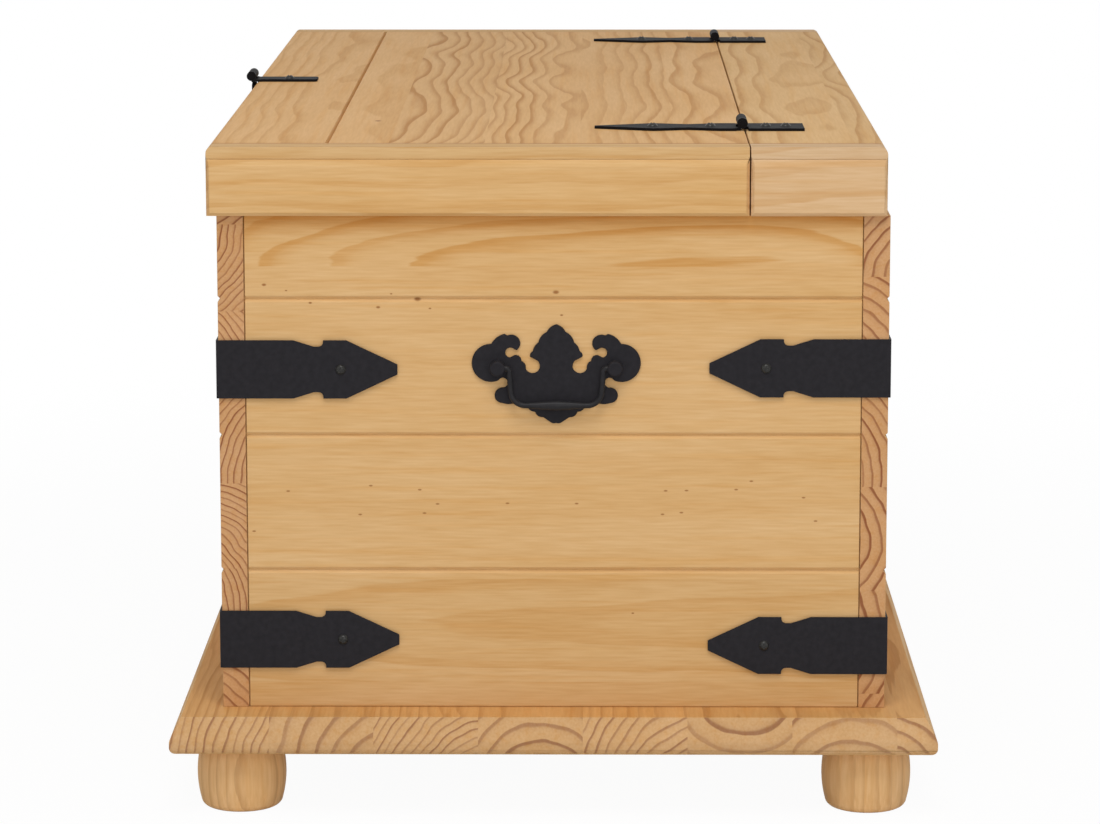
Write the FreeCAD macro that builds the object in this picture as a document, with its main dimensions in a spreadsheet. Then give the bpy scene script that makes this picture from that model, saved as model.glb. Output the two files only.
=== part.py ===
import FreeCAD, Part
import math
import os
import re
from types import SimpleNamespace
import Sketcher

# A lidded pine storage chest on a bevelled base board with four turned feet.
# Black iron: two strap hinges, a hasp, eight corner irons and a drop handle on each end.
# The origin is on the floor under the middle of the base board. X runs along the chest,
# the front with the hasp faces -Y, and +Z is up. The right end is the one at +X.

Vector = FreeCAD.Vector
ALONG_X = Vector(1, 0, 0)
ALONG_Y = Vector(0, 1, 0)
ALONG_Z = Vector(0, 0, 1)

# Driving sizes, in millimetres: alias, value, meaning
DRIVING_SIZES = [
    ("body_length", "902", "outer length of the walls"),
    ("body_depth", "460", "outer depth of the walls"),
    ("wall_height", "345", "base board to the underside of the lid"),
    ("board_thickness", "18", "thickness of the wall boards"),
    ("end_recess", "0.6", "how far the end panels sit back from the long walls' ends"),
    ("first_course", "97.4", "height of the lowest course of wall boards"),
    ("course_height", "94.9", "height of each course above it"),
    ("groove_width", "4.2", "width of a V joint between courses"),
    ("groove_depth", "2.1", "depth of a V joint between courses"),
    ("shadow_width", "0.7", "width of the fine groove beside an end panel"),
    ("shadow_depth", "2", "depth of that groove"),
    ("base_ease", "0.7", "chamfer along the walls' lower outer edge"),
    ("block_size", "22", "side of a corner glue block"),
    ("block_height", "300", "height of a corner glue block"),
    ("plinth_overhang", "35", "base board beyond the walls"),
    ("plinth_thickness", "26", "thickness of the base board"),
    ("bevel_inset", "8", "how far the base board's bevel goes in"),
    ("bevel_drop", "16", "how far the base board's bevel goes down"),
    ("bevel_round", "8", "round between the base board's bevel and its edge"),
    ("nose_radius", "5.5", "round under the base board's edge"),
    ("foot_height", "46", "height of a foot"),
    ("foot_base_radius", "24.5", "flat under a foot"),
    ("foot_rim_radius", "28.6", "foot's radius above its lower round"),
    ("foot_rim_height", "5", "height of a foot's lower round"),
    ("foot_rim_curve", "6", "radius of a foot's lower round in section"),
    ("foot_neck_radius", "27.8", "foot's radius under the base board"),
    ("foot_belly_curve", "75", "radius of a foot's belly in section"),
    ("foot_inset", "46.5", "base board's edge to a foot's centre"),
    ("stud_radius", "4", "radius of a foot's stud"),
    ("stud_depth", "20", "how far a stud goes into foot and base board"),
    ("lid_height", "47", "height of the lid and of the fixed rail"),
    ("front_overhang", "6.5", "lid beyond the front wall"),
    ("end_overhang", "6.5", "lid and rail beyond the ends of the walls"),
    ("top_thickness", "18", "thickness of the lid's top boards"),
    ("apron_thickness", "18", "thickness of aprons and battens"),
    ("front_strip", "81", "width of the lid's front board"),
    ("cap_width", "27", "width of an end cap, seen from above"),
    ("cap_slope_drop", "8", "height of the slope along an end cap's top"),
    ("cap_slope_inset", "4.1", "how far that slope leans in"),
    ("bead_drop", "4.7", "height of the steep band below that slope"),
    ("bead_inset", "1", "how far that band leans in"),
    ("quirk_width", "0.9", "width of the fine groove between slope and band"),
    ("quirk_depth", "0.8", "depth of that groove"),
    ("edge_chamfer", "2.4", "chamfer on the end caps' outer edges"),
    ("cap_line", "0.5", "width of the fine groove between an end cap and the top boards"),
    ("cap_line_depth", "1.2", "depth of that groove"),
    ("front_round", "4", "round along the lid's front top edge"),
    ("back_round", "5", "round along the rail's back top edge"),
    ("corner_ease", "2", "round under the lid's front, and the hasp's eased corners"),
    ("joint_ease", "1.3", "half the width of the V between boards of the top"),
    ("joint_depth", "2.8", "depth of that V"),
    ("rail_depth", "93", "depth of the fixed back rail"),
    ("rail_setback", "2.5", "rail's back edge inside the back wall's face"),
    ("hinge_gap", "0.8", "gap between lid and rail"),
    ("dowel_radius", "4", "radius of a dowel"),
    ("dowel_reach", "18", "how far a dowel goes into an end or an edge"),
    ("dowel_shallow", "11", "how far a dowel goes into a board's face"),
    ("fit_clearance", "0.1", "hole beyond dowel, stud or screw, all round"),
    ("drill_relief", "0.5", "hole beyond the end of what is in it"),
    ("screw_head_radius", "3.6", "radius of an iron screw's head"),
    ("screw_head_height", "2.3", "height of an iron screw's domed head"),
    ("screw_shank_radius", "1.7", "radius of an iron screw's shank"),
    ("screw_length", "14", "length of an iron screw below its head"),
    ("recess_width", "1.1", "width of the cross in a screw head"),
    ("recess_span", "4.4", "length of the cross in a screw head"),
    ("recess_depth", "1", "depth of the cross in a screw head"),
    ("plinth_screw_radius", "2.2", "radius of a base board screw"),
    ("plinth_screw_length", "55", "length of a base board screw with its head"),
    ("plinth_head_radius", "4.5", "radius of a base board screw's head"),
    ("plinth_head_height", "3", "height of a base board screw's head"),
    ("hinge_inset", "119", "lid's end to the middle of a hinge"),
    ("hinge_forward", "2", "hinge pins in front of the gap between lid and rail"),
    ("leaf_thickness", "2", "thickness of hinge straps and leaves"),
    ("leaf_width", "34", "width of a hinge at its knuckles"),
    ("leaf_length", "43.6", "hinge line to the end of the rail's leaf"),
    ("strap_length", "103.9", "hinge line to the tip of the lid's strap"),
    ("strap_waist", "21", "width of a strap's waist"),
    ("strap_tip", "3", "width of a strap's blunt tip"),
    ("strap_shoulder", "16.4", "hinge line to where a strap narrows"),
    ("strap_narrow", "38.4", "hinge line to a strap's waist"),
    ("strap_spread", "62.4", "hinge line to where a strap's spearhead is widest"),
    ("strap_screw_near", "22.2", "hinge line to a strap's first screw"),
    ("strap_screw_far", "62.9", "hinge line to a strap's second screw"),
    ("leaf_screw_near", "16.9", "hinge line to a leaf's first screw"),
    ("leaf_screw_far", "31", "hinge line to a leaf's second screw"),
    ("knuckle_radius", "3.7", "radius of a hinge knuckle"),
    ("knuckle_length", "30", "length of a hinge's three knuckles together"),
    ("knuckle_gap", "0.3", "gap between knuckles, end to end"),
    ("knuckle_lift", "1.6", "gap under a knuckle"),
    ("knuckle_room", "0.5", "gap between a knuckle and the other leaf's edge"),
    ("knuckle_tab", "1.3", "hinge line to the end of a leaf's tabs"),
    ("pin_radius", "2", "radius of a hinge or hasp pin"),
    ("pin_clearance", "0.05", "hole beyond the pin, all round"),
    ("pin_end", "0.5", "pin beyond the knuckles at each end"),
    ("hasp_width", "22", "width of the hasp's leaf and arm"),
    ("hasp_length", "48", "lid's front edge to the end of the hasp's leaf"),
    ("hasp_thickness", "2.5", "thickness of the hasp's arm and eyes"),
    ("hasp_radius", "3.7", "radius of the hasp's knuckles"),
    ("hasp_barrel", "28", "length of the hasp's three knuckles together"),
    ("hasp_reach", "3", "hasp's pin in front of the lid"),
    ("hasp_rise", "4.6", "hasp's pin above the lid's top"),
    ("hasp_offset", "1.25", "middle of the arm behind the hasp's pin"),
    ("hasp_drop", "78", "hasp's pin to the foot of the arm"),
    ("hasp_screw_place", "26", "lid's front edge to the hasp leaf's screw"),
    ("eye_reach", "11", "arm's face to the middle of the eyes"),
    ("eye_radius", "9", "round end of the eyes"),
    ("eye_hole_radius", "4", "hole through the eyes"),
    ("eye_gap", "0.5", "gap between the two eyes"),
    ("eye_plate_width", "56", "width of the lower eye's back plate"),
    ("eye_plate_height", "30", "height of the lower eye's back plate"),
    ("eye_screw_spread", "38", "distance between the back plate's screws"),
    ("iron_width", "40.4", "width of a corner iron"),
    ("iron_thickness", "1.6", "thickness of a corner iron"),
    ("iron_bend", "1.4", "outer radius of a corner iron's bend"),
    ("iron_length", "123", "corner to a corner iron's tip"),
    ("iron_straight", "51.5", "corner to where a corner iron narrows"),
    ("iron_notch", "65.5", "corner to the notch"),
    ("iron_notch_depth", "4.4", "depth of the notch"),
    ("iron_notch_round", "3.2", "round inside the notch"),
    ("iron_head", "72", "corner to the spearhead's square barb"),
    ("iron_taper", "88", "corner to where the spearhead tapers"),
    ("iron_tip", "7", "width of the blunt tip"),
    ("iron_screw_place", "84", "corner to a corner iron's screw"),
    ("iron_upper_front", "238.5", "base board to the middle of the upper front corner irons"),
    ("iron_upper_back", "239.5", "base board to the middle of the upper back corner irons"),
    ("iron_lower_front", "48.5", "base board to the middle of the lower front corner irons"),
    ("iron_lower_back", "44.5", "base board to the middle of the lower back corner irons"),
    ("bail_height", "240.2", "base board to the handle's pivots"),
    ("bail_spacing", "80.7", "distance between a handle's posts"),
    ("handle_back", "2", "handle's middle behind the middle of the chest"),
    ("plate_thickness", "1.8", "thickness of a handle's plate"),
    ("post_radius", "5.2", "radius of a handle's post"),
    ("post_length", "9", "length of a post in front of the plate"),
    ("post_round", "1.3", "round at a post's outer end"),
    ("pivot_out", "5", "plate's face to the bail's pivot"),
    ("post_stud_radius", "2", "radius of the stud behind a post"),
    ("nut_radius", "4", "radius of a handle's nut"),
    ("nut_height", "3.2", "height of a handle's nut"),
    ("rod_radius", "1.9", "radius of a bail's rod"),
    ("grip_radius", "3.6", "radius of a bail's grip at its middle"),
    ("bail_drop", "25.8", "pivot to the middle of the grip"),
    ("bail_bend", "10", "radius of a bail's lower bends"),
    ("bail_slant", "1.8", "how far a bail's arms lean in on their way down"),
    ("elbow_bend", "2.4", "radius of a bail's upper bends"),
    ("stub_reach", "5", "how far a bail's end goes into its post"),
    ("stub_clearance", "0.08", "post's hole beyond the bail's end, all round"),
    ("bail_side_gap", "0.4", "bail's bend to its post"),
]

# Places worked out from the driving sizes
WORKED_OUT_SIZES = [
    ("half_length", "=body_length / 2", "middle to the end of the walls"),
    ("half_depth", "=body_depth / 2", "middle to the face of the long walls"),
    ("inner_depth", "=half_depth - board_thickness", "middle to the inside of the long walls"),
    ("end_face", "=half_length - end_recess", "middle to the end panels' outer face"),
    ("inner_length", "=end_face - board_thickness", "middle to the end panels' inner face"),
    ("plinth_top", "=foot_height + plinth_thickness", "top of the base board"),
    ("plinth_half_length", "=half_length + plinth_overhang", "middle to the base board's end"),
    ("plinth_half_depth", "=half_depth + plinth_overhang", "middle to the base board's front"),
    ("wall_top", "=plinth_top + wall_height", "top of the walls"),
    ("lid_top", "=wall_top + lid_height", "top of the lid"),
    ("top_under", "=lid_top - top_thickness", "underside of the top boards"),
    ("apron_height", "=lid_height - top_thickness", "height of aprons and battens"),
    ("lid_half", "=half_length + end_overhang", "middle to the lid's end"),
    ("cap_inner", "=lid_half - cap_width", "middle to an end cap's inner face"),
    ("lid_front", "=-half_depth - front_overhang", "lid's front face"),
    ("strip_back", "=lid_front + front_strip", "joint behind the lid's front board"),
    ("rail_back", "=half_depth - rail_setback", "rail's back face"),
    ("rail_front", "=rail_back - rail_depth", "rail's front face"),
    ("lid_rear", "=rail_front - hinge_gap", "lid's rear face"),
    ("lid_depth", "=lid_rear - lid_front", "depth of the lid"),
    ("hinge_line", "=rail_front - hinge_gap / 2 - hinge_forward", "hinge pins, front to back"),
    ("hinge_height", "=lid_top + knuckle_lift + knuckle_radius", "hinge pins' height"),
    ("hinge_place", "=lid_half - hinge_inset", "middle of the chest to a hinge"),
    ("knuckle_clear", "=knuckle_radius + knuckle_room", "hinge line to a leaf's plain edge"),
    ("hasp_line", "=lid_front - hasp_reach", "hasp's pin, front to back"),
    ("hasp_height", "=lid_top + hasp_rise", "hasp's pin's height"),
    ("hasp_clear", "=hasp_radius + knuckle_room", "hasp's pin to a leaf's plain edge"),
    ("arm_front", "=hasp_line + hasp_offset - hasp_thickness / 2", "front face of the hasp's arm"),
    ("eye_line", "=arm_front - eye_reach", "middle of the eyes, front to back"),
    ("arm_foot", "=hasp_height - hasp_drop", "underside of the arm's eye"),
    ("eye_top", "=arm_foot - eye_gap", "top of the lower eye"),
    ("pivot_height", "=plinth_top + bail_height", "handle pivots' height"),
    ("plate_face", "=end_face + plate_thickness", "middle of the chest to a handle plate's face"),
    ("pivot_place", "=plate_face + pivot_out", "middle of the chest to a bail's pivots"),
    ("arm_place", "=bail_spacing / 2 - post_radius - bail_side_gap - elbow_bend",
     "bail's middle to its arms"),
    ("arm_low", "=arm_place - bail_slant", "bail's middle to its lower bends"),
]

TOLERANCE = 0.01
SIDES = {"left": -1, "right": 1}
DEPTHS = {"front": -1, "back": 1}

all_sizes = DRIVING_SIZES + WORKED_OUT_SIZES
doc = FreeCAD.newDocument("storage_chest")
sheet = doc.addObject("Spreadsheet::Sheet", "Sizes")
for row, (alias, value, meaning) in enumerate(all_sizes, start=1):
    sheet.set(f"A{row}", meaning)
    sheet.set(f"B{row}", value)
    sheet.setAlias(f"B{row}", alias)
doc.recompute()
size = SimpleNamespace(**{alias: float(sheet.get(alias)) for alias, _, _ in all_sizes})
nodes = {}


def tied(formula):
    """A formula in the sheet's words, made ready to bind."""
    return re.sub(r"[a-z]+(?:_[a-z]+)+", r"Sizes.\g<0>", formula)


def bind(item, formulas):
    for name, formula in formulas.items():
        item.setExpression(name, tied(formula))


def place(item, x, y, z):
    bind(item, {"Placement.Base.x": x, "Placement.Base.y": y, "Placement.Base.z": z})
    return item


def keep(item):
    nodes[item.Label] = item
    return item


def board(name, low, lengths):
    """A square-edged board, from its lowest corner and its three lengths."""
    item = doc.addObject("Part::Box", name)
    bind(item, dict(zip(("Length", "Width", "Height"), lengths)))
    return place(item, *low)


def cylinder(name, axis, radius, length, base):
    """A round bar along an axis, from its lower end."""
    item = doc.addObject("Part::Cylinder", name)
    item.Placement = FreeCAD.Placement(Vector(), FreeCAD.Rotation(ALONG_Z, axis))
    bind(item, {"Radius": radius, "Height": length})
    return place(item, *base)


def sketch_on(body, name, role):
    sketch = body.newObject("Sketcher::SketchObject", name)
    plane = [feature for feature in body.Origin.OriginFeatures if feature.Role == role][0]
    sketch.AttachmentSupport = (plane, [""])
    sketch.MapMode = "FlatFace"
    return sketch


def fix_point(sketch, line, formulas):
    """Ties the start of one line of a sketch to two formulas."""
    start = sketch.Geometry[line].StartPoint
    for kind, value, formula in zip(("DistanceX", "DistanceY"), start, formulas):
        number = sketch.addConstraint(Sketcher.Constraint(kind, line, 1, value))
        sketch.setExpression(f"Constraints[{number}]", tied(formula))


def trace(sketch, corners):
    """A closed outline of straight lines, each corner tied to two formulas."""
    count = len(corners)
    turns = [2 * math.pi * number / count for number in range(count)]
    ring = [Vector(math.cos(turn), math.sin(turn), 0) for turn in turns]
    for start, end in zip(ring, ring[1:] + ring[:1]):
        sketch.addGeometry(Part.LineSegment(start, end))
    for number in range(count):
        sketch.addConstraint(Sketcher.Constraint("Coincident", number, 2, (number + 1) % count, 1))
    for number, formulas in enumerate(corners):
        fix_point(sketch, number, formulas)


def pad(body, name, role, corners, length, towards_plus=True):
    """Adds an outline on one of the body's planes, raised along that plane's axis."""
    sketch = sketch_on(body, name + "_outline", role)
    trace(sketch, corners)
    item = body.newObject("PartDesign::Pad", name + "_pad")
    item.Profile = sketch
    bind(item, {"Length": length})
    item.Reversed = towards_plus == (role == "XZ_Plane")
    return body


def prism(name, role, corners, length, base=("0", "0", "0"), towards_plus=True):
    body = doc.addObject("PartDesign::Body", name)
    pad(body, name, role, corners, length, towards_plus)
    return place(body, *base)


def work_edges(body, kind, formulas, wanted):
    """Eases the edges of a body that a test on their middle and reach picks."""
    doc.recompute()
    last = body.Tip
    picked = []
    for number, edge in enumerate(last.Shape.Edges, start=1):
        if wanted(edge.BoundBox.Center, edge.BoundBox):
            picked.append(f"Edge{number}")
    item = body.newObject(f"PartDesign::{kind}", f"{body.Name}_{kind.lower()}")
    item.Base = (last, picked)
    if "Size2" in formulas:
        item.ChamferType = "Two distances"
    bind(item, formulas)


def round_edges(body, radius, wanted):
    work_edges(body, "Fillet", {"Radius": radius}, wanted)


def bevel_edges(body, formulas, wanted):
    work_edges(body, "Chamfer", formulas, wanted)


def same(first, second):
    """Whether two lengths are equal, to a hundredth of a millimetre."""
    return abs(first - second) < TOLERANCE


def group(name, solids):
    """Identical loose solids as one piece."""
    item = doc.addObject("Part::Feature", name)
    item.Shape = Part.makeCompound(solids)
    return item


def drilled(name, blank, holes):
    item = doc.addObject("Part::Cut", name)
    item.Base = blank
    item.Tool = group(name + "_holes", holes)
    return keep(item)


def fused(name, pieces):
    item = doc.addObject("Part::MultiFuse", name)
    item.Shapes = pieces
    return item


def bars(runs, radius):
    """Round bars, each from a start, a direction and a length."""
    return [Part.makeCylinder(radius, length, start, way) for start, way, length in runs]


def holes_for(runs, radius):
    """Holes for such bars, wider and deeper by the clearances."""
    relief = size.drill_relief
    longer = [(start - way * relief, way, length + 2 * relief) for start, way, length in runs]
    return bars(longer, radius + size.fit_clearance)


def dowel_runs(seats, back, ahead):
    """Dowels through seats on a joint's face, some way back and some way ahead."""
    return [(seat - way * back, way, back + ahead) for seat, way in seats]


def both(formula):
    """A formula and its opposite."""
    return formula, f"-({formula})"


# Iron screws
# Domed heads with a cross. A seat is the point under the head and the way that the shank goes.
def make_screw():
    high = size.screw_head_height
    wide = size.screw_head_radius
    curve = (wide ** 2 + high ** 2) / (2 * high)
    dome = Part.makeSphere(curve, Vector(0, 0, high - curve)).common(Part.makeCylinder(wide, high))
    slot = (size.recess_width, size.recess_span)
    for long_x, long_y in (slot, slot[::-1]):
        corner = Vector(-long_x / 2, -long_y / 2, high - size.recess_depth)
        dome = dome.cut(Part.makeBox(long_x, long_y, high, corner))
    shank = Part.makeCylinder(size.screw_shank_radius, size.screw_length, Vector(0, 0, -size.screw_length))
    return dome.fuse(shank).removeSplitter()


screw_shape = make_screw()


def screws(seats):
    copies = []
    for seat, inward in seats:
        copy = screw_shape.copy()
        copy.Placement = FreeCAD.Placement(seat, FreeCAD.Rotation(ALONG_Z, inward * -1))
        copies.append(copy)
    return copies


def screw_holes(seats):
    return holes_for([(seat, inward, size.screw_length) for seat, inward in seats], size.screw_shank_radius)


# Places of the fasteners
# Wall corners are dowelled at three heights, and the base board is screwed to the walls from below.
# Fasteners in a row are spread by shares of the length that they hold.
THREE_INSIDE = (1 / 6, 1 / 2, 5 / 6)
THREE_NEAR_ENDS = (1 / 8, 1 / 2, 7 / 8)
TWO_WIDE = (1 / 4, 3 / 4)
TWO_INSIDE = (1 / 3, 2 / 3)
THREE_ABOUT_MIDDLE = (-2 / 3, 0, 2 / 3)
TWO_ABOUT_MIDDLE = (-1 / 3, 1 / 3)

corner_dowel_seats = []
for side in SIDES.values():
    for depth in DEPTHS.values():
        for share in THREE_INSIDE:
            x = side * (size.end_face - size.board_thickness / 2)
            z = size.plinth_top + share * size.wall_height
            corner_dowel_seats.append((Vector(x, depth * size.inner_depth, z), ALONG_Y * -depth))
corner_dowel_runs = dowel_runs(corner_dowel_seats, size.dowel_shallow, size.dowel_reach)
corner_dowel_holes = holes_for(corner_dowel_runs, size.dowel_radius)

long_wall_line = size.half_depth - size.board_thickness / 2
end_wall_line = size.end_face - size.board_thickness / 2
plinth_screw_feet = []
for depth in DEPTHS.values():
    for share in THREE_ABOUT_MIDDLE:
        plinth_screw_feet.append(Vector(share * size.half_length, depth * long_wall_line, size.foot_height))
for side in SIDES.values():
    for share in TWO_ABOUT_MIDDLE:
        plinth_screw_feet.append(Vector(side * end_wall_line, share * size.half_depth, size.foot_height))
plinth_shank_runs = [(foot, ALONG_Z, size.plinth_screw_length) for foot in plinth_screw_feet]
plinth_head_runs = [(foot, ALONG_Z, size.plinth_head_height) for foot in plinth_screw_feet]
plinth_screw_holes = holes_for(plinth_shank_runs, size.plinth_screw_radius)
plinth_head_holes = holes_for(plinth_head_runs, size.plinth_head_radius)

foot_centres = {}
for depth_name, depth in DEPTHS.items():
    for side_name, side in SIDES.items():
        x = side * (size.plinth_half_length - size.foot_inset)
        y = depth * (size.plinth_half_depth - size.foot_inset)
        foot_centres[f"foot_{depth_name}_{side_name}"] = Vector(x, y, size.foot_height)
stud_seats = [(centre, ALONG_Z) for centre in foot_centres.values()]
stud_runs = dowel_runs(stud_seats, size.stud_depth, size.stud_depth)
stud_holes = holes_for(stud_runs, size.stud_radius)

top_middle = size.lid_top - size.top_thickness / 2
apron_middle = size.wall_top + size.apron_height / 2
lid_dowel_seats = []
rail_dowel_seats = []
panel_depth = size.lid_rear - size.strip_back
for side in SIDES.values():
    outward = ALONG_X * side
    inner = side * size.cap_inner
    for share in TWO_WIDE:
        lid_y = size.lid_front + share * size.front_strip
        lid_dowel_seats.append((Vector(inner, lid_y, top_middle), outward))
        rail_y = size.rail_front + share * size.rail_depth
        rail_dowel_seats.append((Vector(inner, rail_y, top_middle), outward))
    for share in THREE_NEAR_ENDS:
        lid_dowel_seats.append((Vector(inner, size.strip_back + share * panel_depth, top_middle), outward))
    for y in (size.lid_front + size.apron_thickness / 2, size.lid_rear - size.apron_thickness / 2):
        lid_dowel_seats.append((Vector(inner, y, apron_middle), outward))
    for y in (size.rail_front + size.apron_thickness / 2, size.rail_back - size.apron_thickness / 2):
        rail_dowel_seats.append((Vector(inner, y, apron_middle), outward))
    for share in TWO_INSIDE:
        y = size.rail_front + share * size.rail_depth
        rail_dowel_seats.append((Vector(side * end_wall_line, y, size.wall_top), ALONG_Z))
for share in THREE_ABOUT_MIDDLE:
    y = size.rail_back - size.apron_thickness / 2
    rail_dowel_seats.append((Vector(share * size.half_length, y, size.wall_top), ALONG_Z))
lid_dowel_runs = dowel_runs(lid_dowel_seats, size.dowel_reach, size.dowel_reach)
rail_dowel_runs = dowel_runs(rail_dowel_seats, size.dowel_reach, size.dowel_reach)
lid_dowel_holes = holes_for(lid_dowel_runs, size.dowel_radius)
rail_dowel_holes = holes_for(rail_dowel_runs, size.dowel_radius)

iron_seats = []
for side in SIDES.values():
    for depth_name, depth in DEPTHS.items():
        for level in ("upper", "lower"):
            z = size.plinth_top + getattr(size, f"iron_{level}_{depth_name}")
            end_x = side * (size.half_length + size.iron_thickness)
            end_y = depth * (size.half_depth - size.iron_screw_place)
            iron_seats.append((Vector(end_x, end_y, z), ALONG_X * -side))
            long_x = side * (size.half_length - size.iron_screw_place)
            long_y = depth * (size.half_depth + size.iron_thickness)
            iron_seats.append((Vector(long_x, long_y, z), ALONG_Y * -depth))
iron_screw_holes = screw_holes(iron_seats)

strap_seats = []
leaf_seats = []
leaf_surface = size.lid_top + size.leaf_thickness
for side in SIDES.values():
    for away in (size.strap_screw_near, size.strap_screw_far):
        seat = Vector(side * size.hinge_place, size.hinge_line - away, leaf_surface)
        strap_seats.append((seat, ALONG_Z * -1))
    for away in (size.leaf_screw_near, size.leaf_screw_far):
        seat = Vector(side * size.hinge_place, size.hinge_line + away, leaf_surface)
        leaf_seats.append((seat, ALONG_Z * -1))
strap_screw_holes = screw_holes(strap_seats)
leaf_screw_holes = screw_holes(leaf_seats)

hasp_seats = [(Vector(0, size.lid_front + size.hasp_screw_place, leaf_surface), ALONG_Z * -1)]
hasp_screw_holes = screw_holes(hasp_seats)
eye_plate_face = -size.half_depth - size.hasp_thickness
eye_screw_height = size.eye_top - size.eye_plate_height / 2
eye_seats = []
for side in SIDES.values():
    eye_seats.append((Vector(side * size.eye_screw_spread / 2, eye_plate_face, eye_screw_height), ALONG_Y))
eye_screw_holes = screw_holes(eye_seats)

post_runs = {}
for side_name, side in SIDES.items():
    runs = []
    for across in (-size.bail_spacing / 2, size.bail_spacing / 2):
        start = Vector(side * size.plate_face, size.handle_back + across, size.pivot_height)
        stud_length = size.plate_thickness + size.board_thickness + size.nut_height
        runs.append((start, ALONG_X * -side, stud_length))
    post_runs[side_name] = runs
post_holes = holes_for(post_runs["left"] + post_runs["right"], size.post_stud_radius)


# Base board
# A flat board with a bevel round its top edge that runs softly into a rounded nose below it.
def make_plinth():
    right, left = both("plinth_half_length")
    back, front = both("plinth_half_depth")
    corners = [(left, front), (right, front), (right, back), (left, back)]
    body = prism("plinth_blank", "XY_Plane", corners, "plinth_thickness", ("0", "0", "foot_height"))
    bevel_edges(body, {"Size": "bevel_drop", "Size2": "bevel_inset"},
                lambda middle, span: same(span.ZMin, size.plinth_thickness))
    bevel_foot = size.plinth_thickness - size.bevel_drop
    round_edges(body, "bevel_round",
                lambda middle, span: same(span.ZMin, bevel_foot) and same(span.ZMax, bevel_foot))
    round_edges(body, "nose_radius", lambda middle, span: same(span.ZMax, 0))
    drilled("plinth_board", body, stud_holes + plinth_screw_holes + plinth_head_holes)


make_plinth()


# Turned feet
# A flat base, a small lower round and a gently swelling side up to the base board.
def make_foot(name, centre):
    body = doc.addObject("PartDesign::Body", name + "_blank")
    sketch = sketch_on(body, name + "_profile", "XZ_Plane")
    base = Vector(size.foot_base_radius, 0, 0)
    rim = Vector(size.foot_rim_radius, size.foot_rim_height, 0)
    neck = Vector(size.foot_neck_radius, size.foot_height, 0)
    axis_top = Vector(0, size.foot_height, 0)

    def bulge(start, end, curve):
        chord = end - start
        outward = Vector(chord.y, -chord.x, 0).normalize()
        rise = curve - math.sqrt(curve ** 2 - (chord.Length / 2) ** 2)
        return Part.Arc(start, start + chord / 2 + outward * rise, end)

    sketch.addGeometry(Part.LineSegment(Vector(), base))
    sketch.addGeometry(bulge(base, rim, size.foot_rim_curve))
    sketch.addGeometry(bulge(rim, neck, size.foot_belly_curve))
    sketch.addGeometry(Part.LineSegment(neck, axis_top))
    sketch.addGeometry(Part.LineSegment(axis_top, Vector()))
    starts = [
        ("0", "0"),
        ("foot_base_radius", "0"),
        ("foot_rim_radius", "foot_rim_height"),
        ("foot_neck_radius", "foot_height"),
        ("0", "foot_height"),
    ]
    count = len(starts)
    for number in range(count):
        sketch.addConstraint(Sketcher.Constraint("Coincident", number, 2, (number + 1) % count, 1))
    for number, formulas in enumerate(starts):
        fix_point(sketch, number, formulas)
    for number, curve in ((1, "foot_rim_curve"), (2, "foot_belly_curve")):
        radius = sketch.addConstraint(Sketcher.Constraint("Radius", number, getattr(size, curve)))
        sketch.setExpression(f"Constraints[{radius}]", tied(curve))
    turned = body.newObject("PartDesign::Revolution", name + "_turning")
    turned.Profile = sketch
    turned.ReferenceAxis = (sketch, ["V_Axis"])
    turned.Angle = 360
    side = "" if centre.x > 0 else "-"
    depth = "" if centre.y > 0 else "-"
    place(body, f"{side}(plinth_half_length - foot_inset)", f"{depth}(plinth_half_depth - foot_inset)", "0")
    drilled(name, body, stud_holes)


for foot_name, foot_centre in foot_centres.items():
    make_foot(foot_name, foot_centre)
keep(group("foot_studs", bars(stud_runs, size.stud_radius)))


# Walls
# Courses of boards with V joints on the outside. The long walls run the full length, and the
# end panels stand between them, with a fine groove beside each long wall.
joint_count = 1 + int((size.wall_height - size.groove_width - size.first_course) // size.course_height)


def wall_section(outer_sign):
    """Corners of a wall's section: across, from the inner face, and up."""
    sign = "" if outer_sign > 0 else "-"
    face = f"{sign}board_thickness"
    floor = f"{sign}(board_thickness - groove_depth)"
    corners = [("0", "0"), (f"{sign}(board_thickness - base_ease)", "0"), (face, "base_ease")]
    for course in range(joint_count):
        joint = f"first_course + {course} * course_height"
        corners.append((face, f"{joint} - groove_width / 2"))
        corners.append((floor, joint))
        corners.append((face, f"{joint} + groove_width / 2"))
    return corners + [(face, "wall_height"), ("0", "wall_height")]


def panel_grooves(side):
    """The fine grooves along the two upright edges of an end panel."""
    low_x = side * size.end_face - size.shadow_depth
    low_z = size.plinth_top - size.drill_relief
    tall = size.wall_height + 2 * size.drill_relief
    grooves = []
    for low_y in (-size.inner_depth, size.inner_depth - size.shadow_width):
        low = Vector(low_x, low_y, low_z)
        grooves.append(Part.makeBox(2 * size.shadow_depth, size.shadow_width, tall, low))
    return grooves


wall_holes = corner_dowel_holes + plinth_screw_holes + iron_screw_holes
for depth_name, depth in DEPTHS.items():
    inside = "inner_depth" if depth > 0 else "-inner_depth"
    wall = prism(f"{depth_name}_panel_blank", "YZ_Plane", wall_section(depth), "body_length",
                 ("-half_length", inside, "plinth_top"))
    extra = eye_screw_holes if depth < 0 else rail_dowel_holes
    drilled(f"{depth_name}_panel", wall, wall_holes + extra)
for side_name, side in SIDES.items():
    inside = "inner_length" if side > 0 else "-inner_length"
    wall = prism(f"end_panel_{side_name}_blank", "XZ_Plane", wall_section(side), "2 * inner_depth",
                 (inside, "-inner_depth", "plinth_top"))
    end_cuts = wall_holes + rail_dowel_holes + post_holes + panel_grooves(side)
    drilled(f"end_panel_{side_name}", wall, end_cuts)
keep(group("corner_dowels", bars(corner_dowel_runs, size.dowel_radius)))
plinth_screw_solids = []
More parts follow.
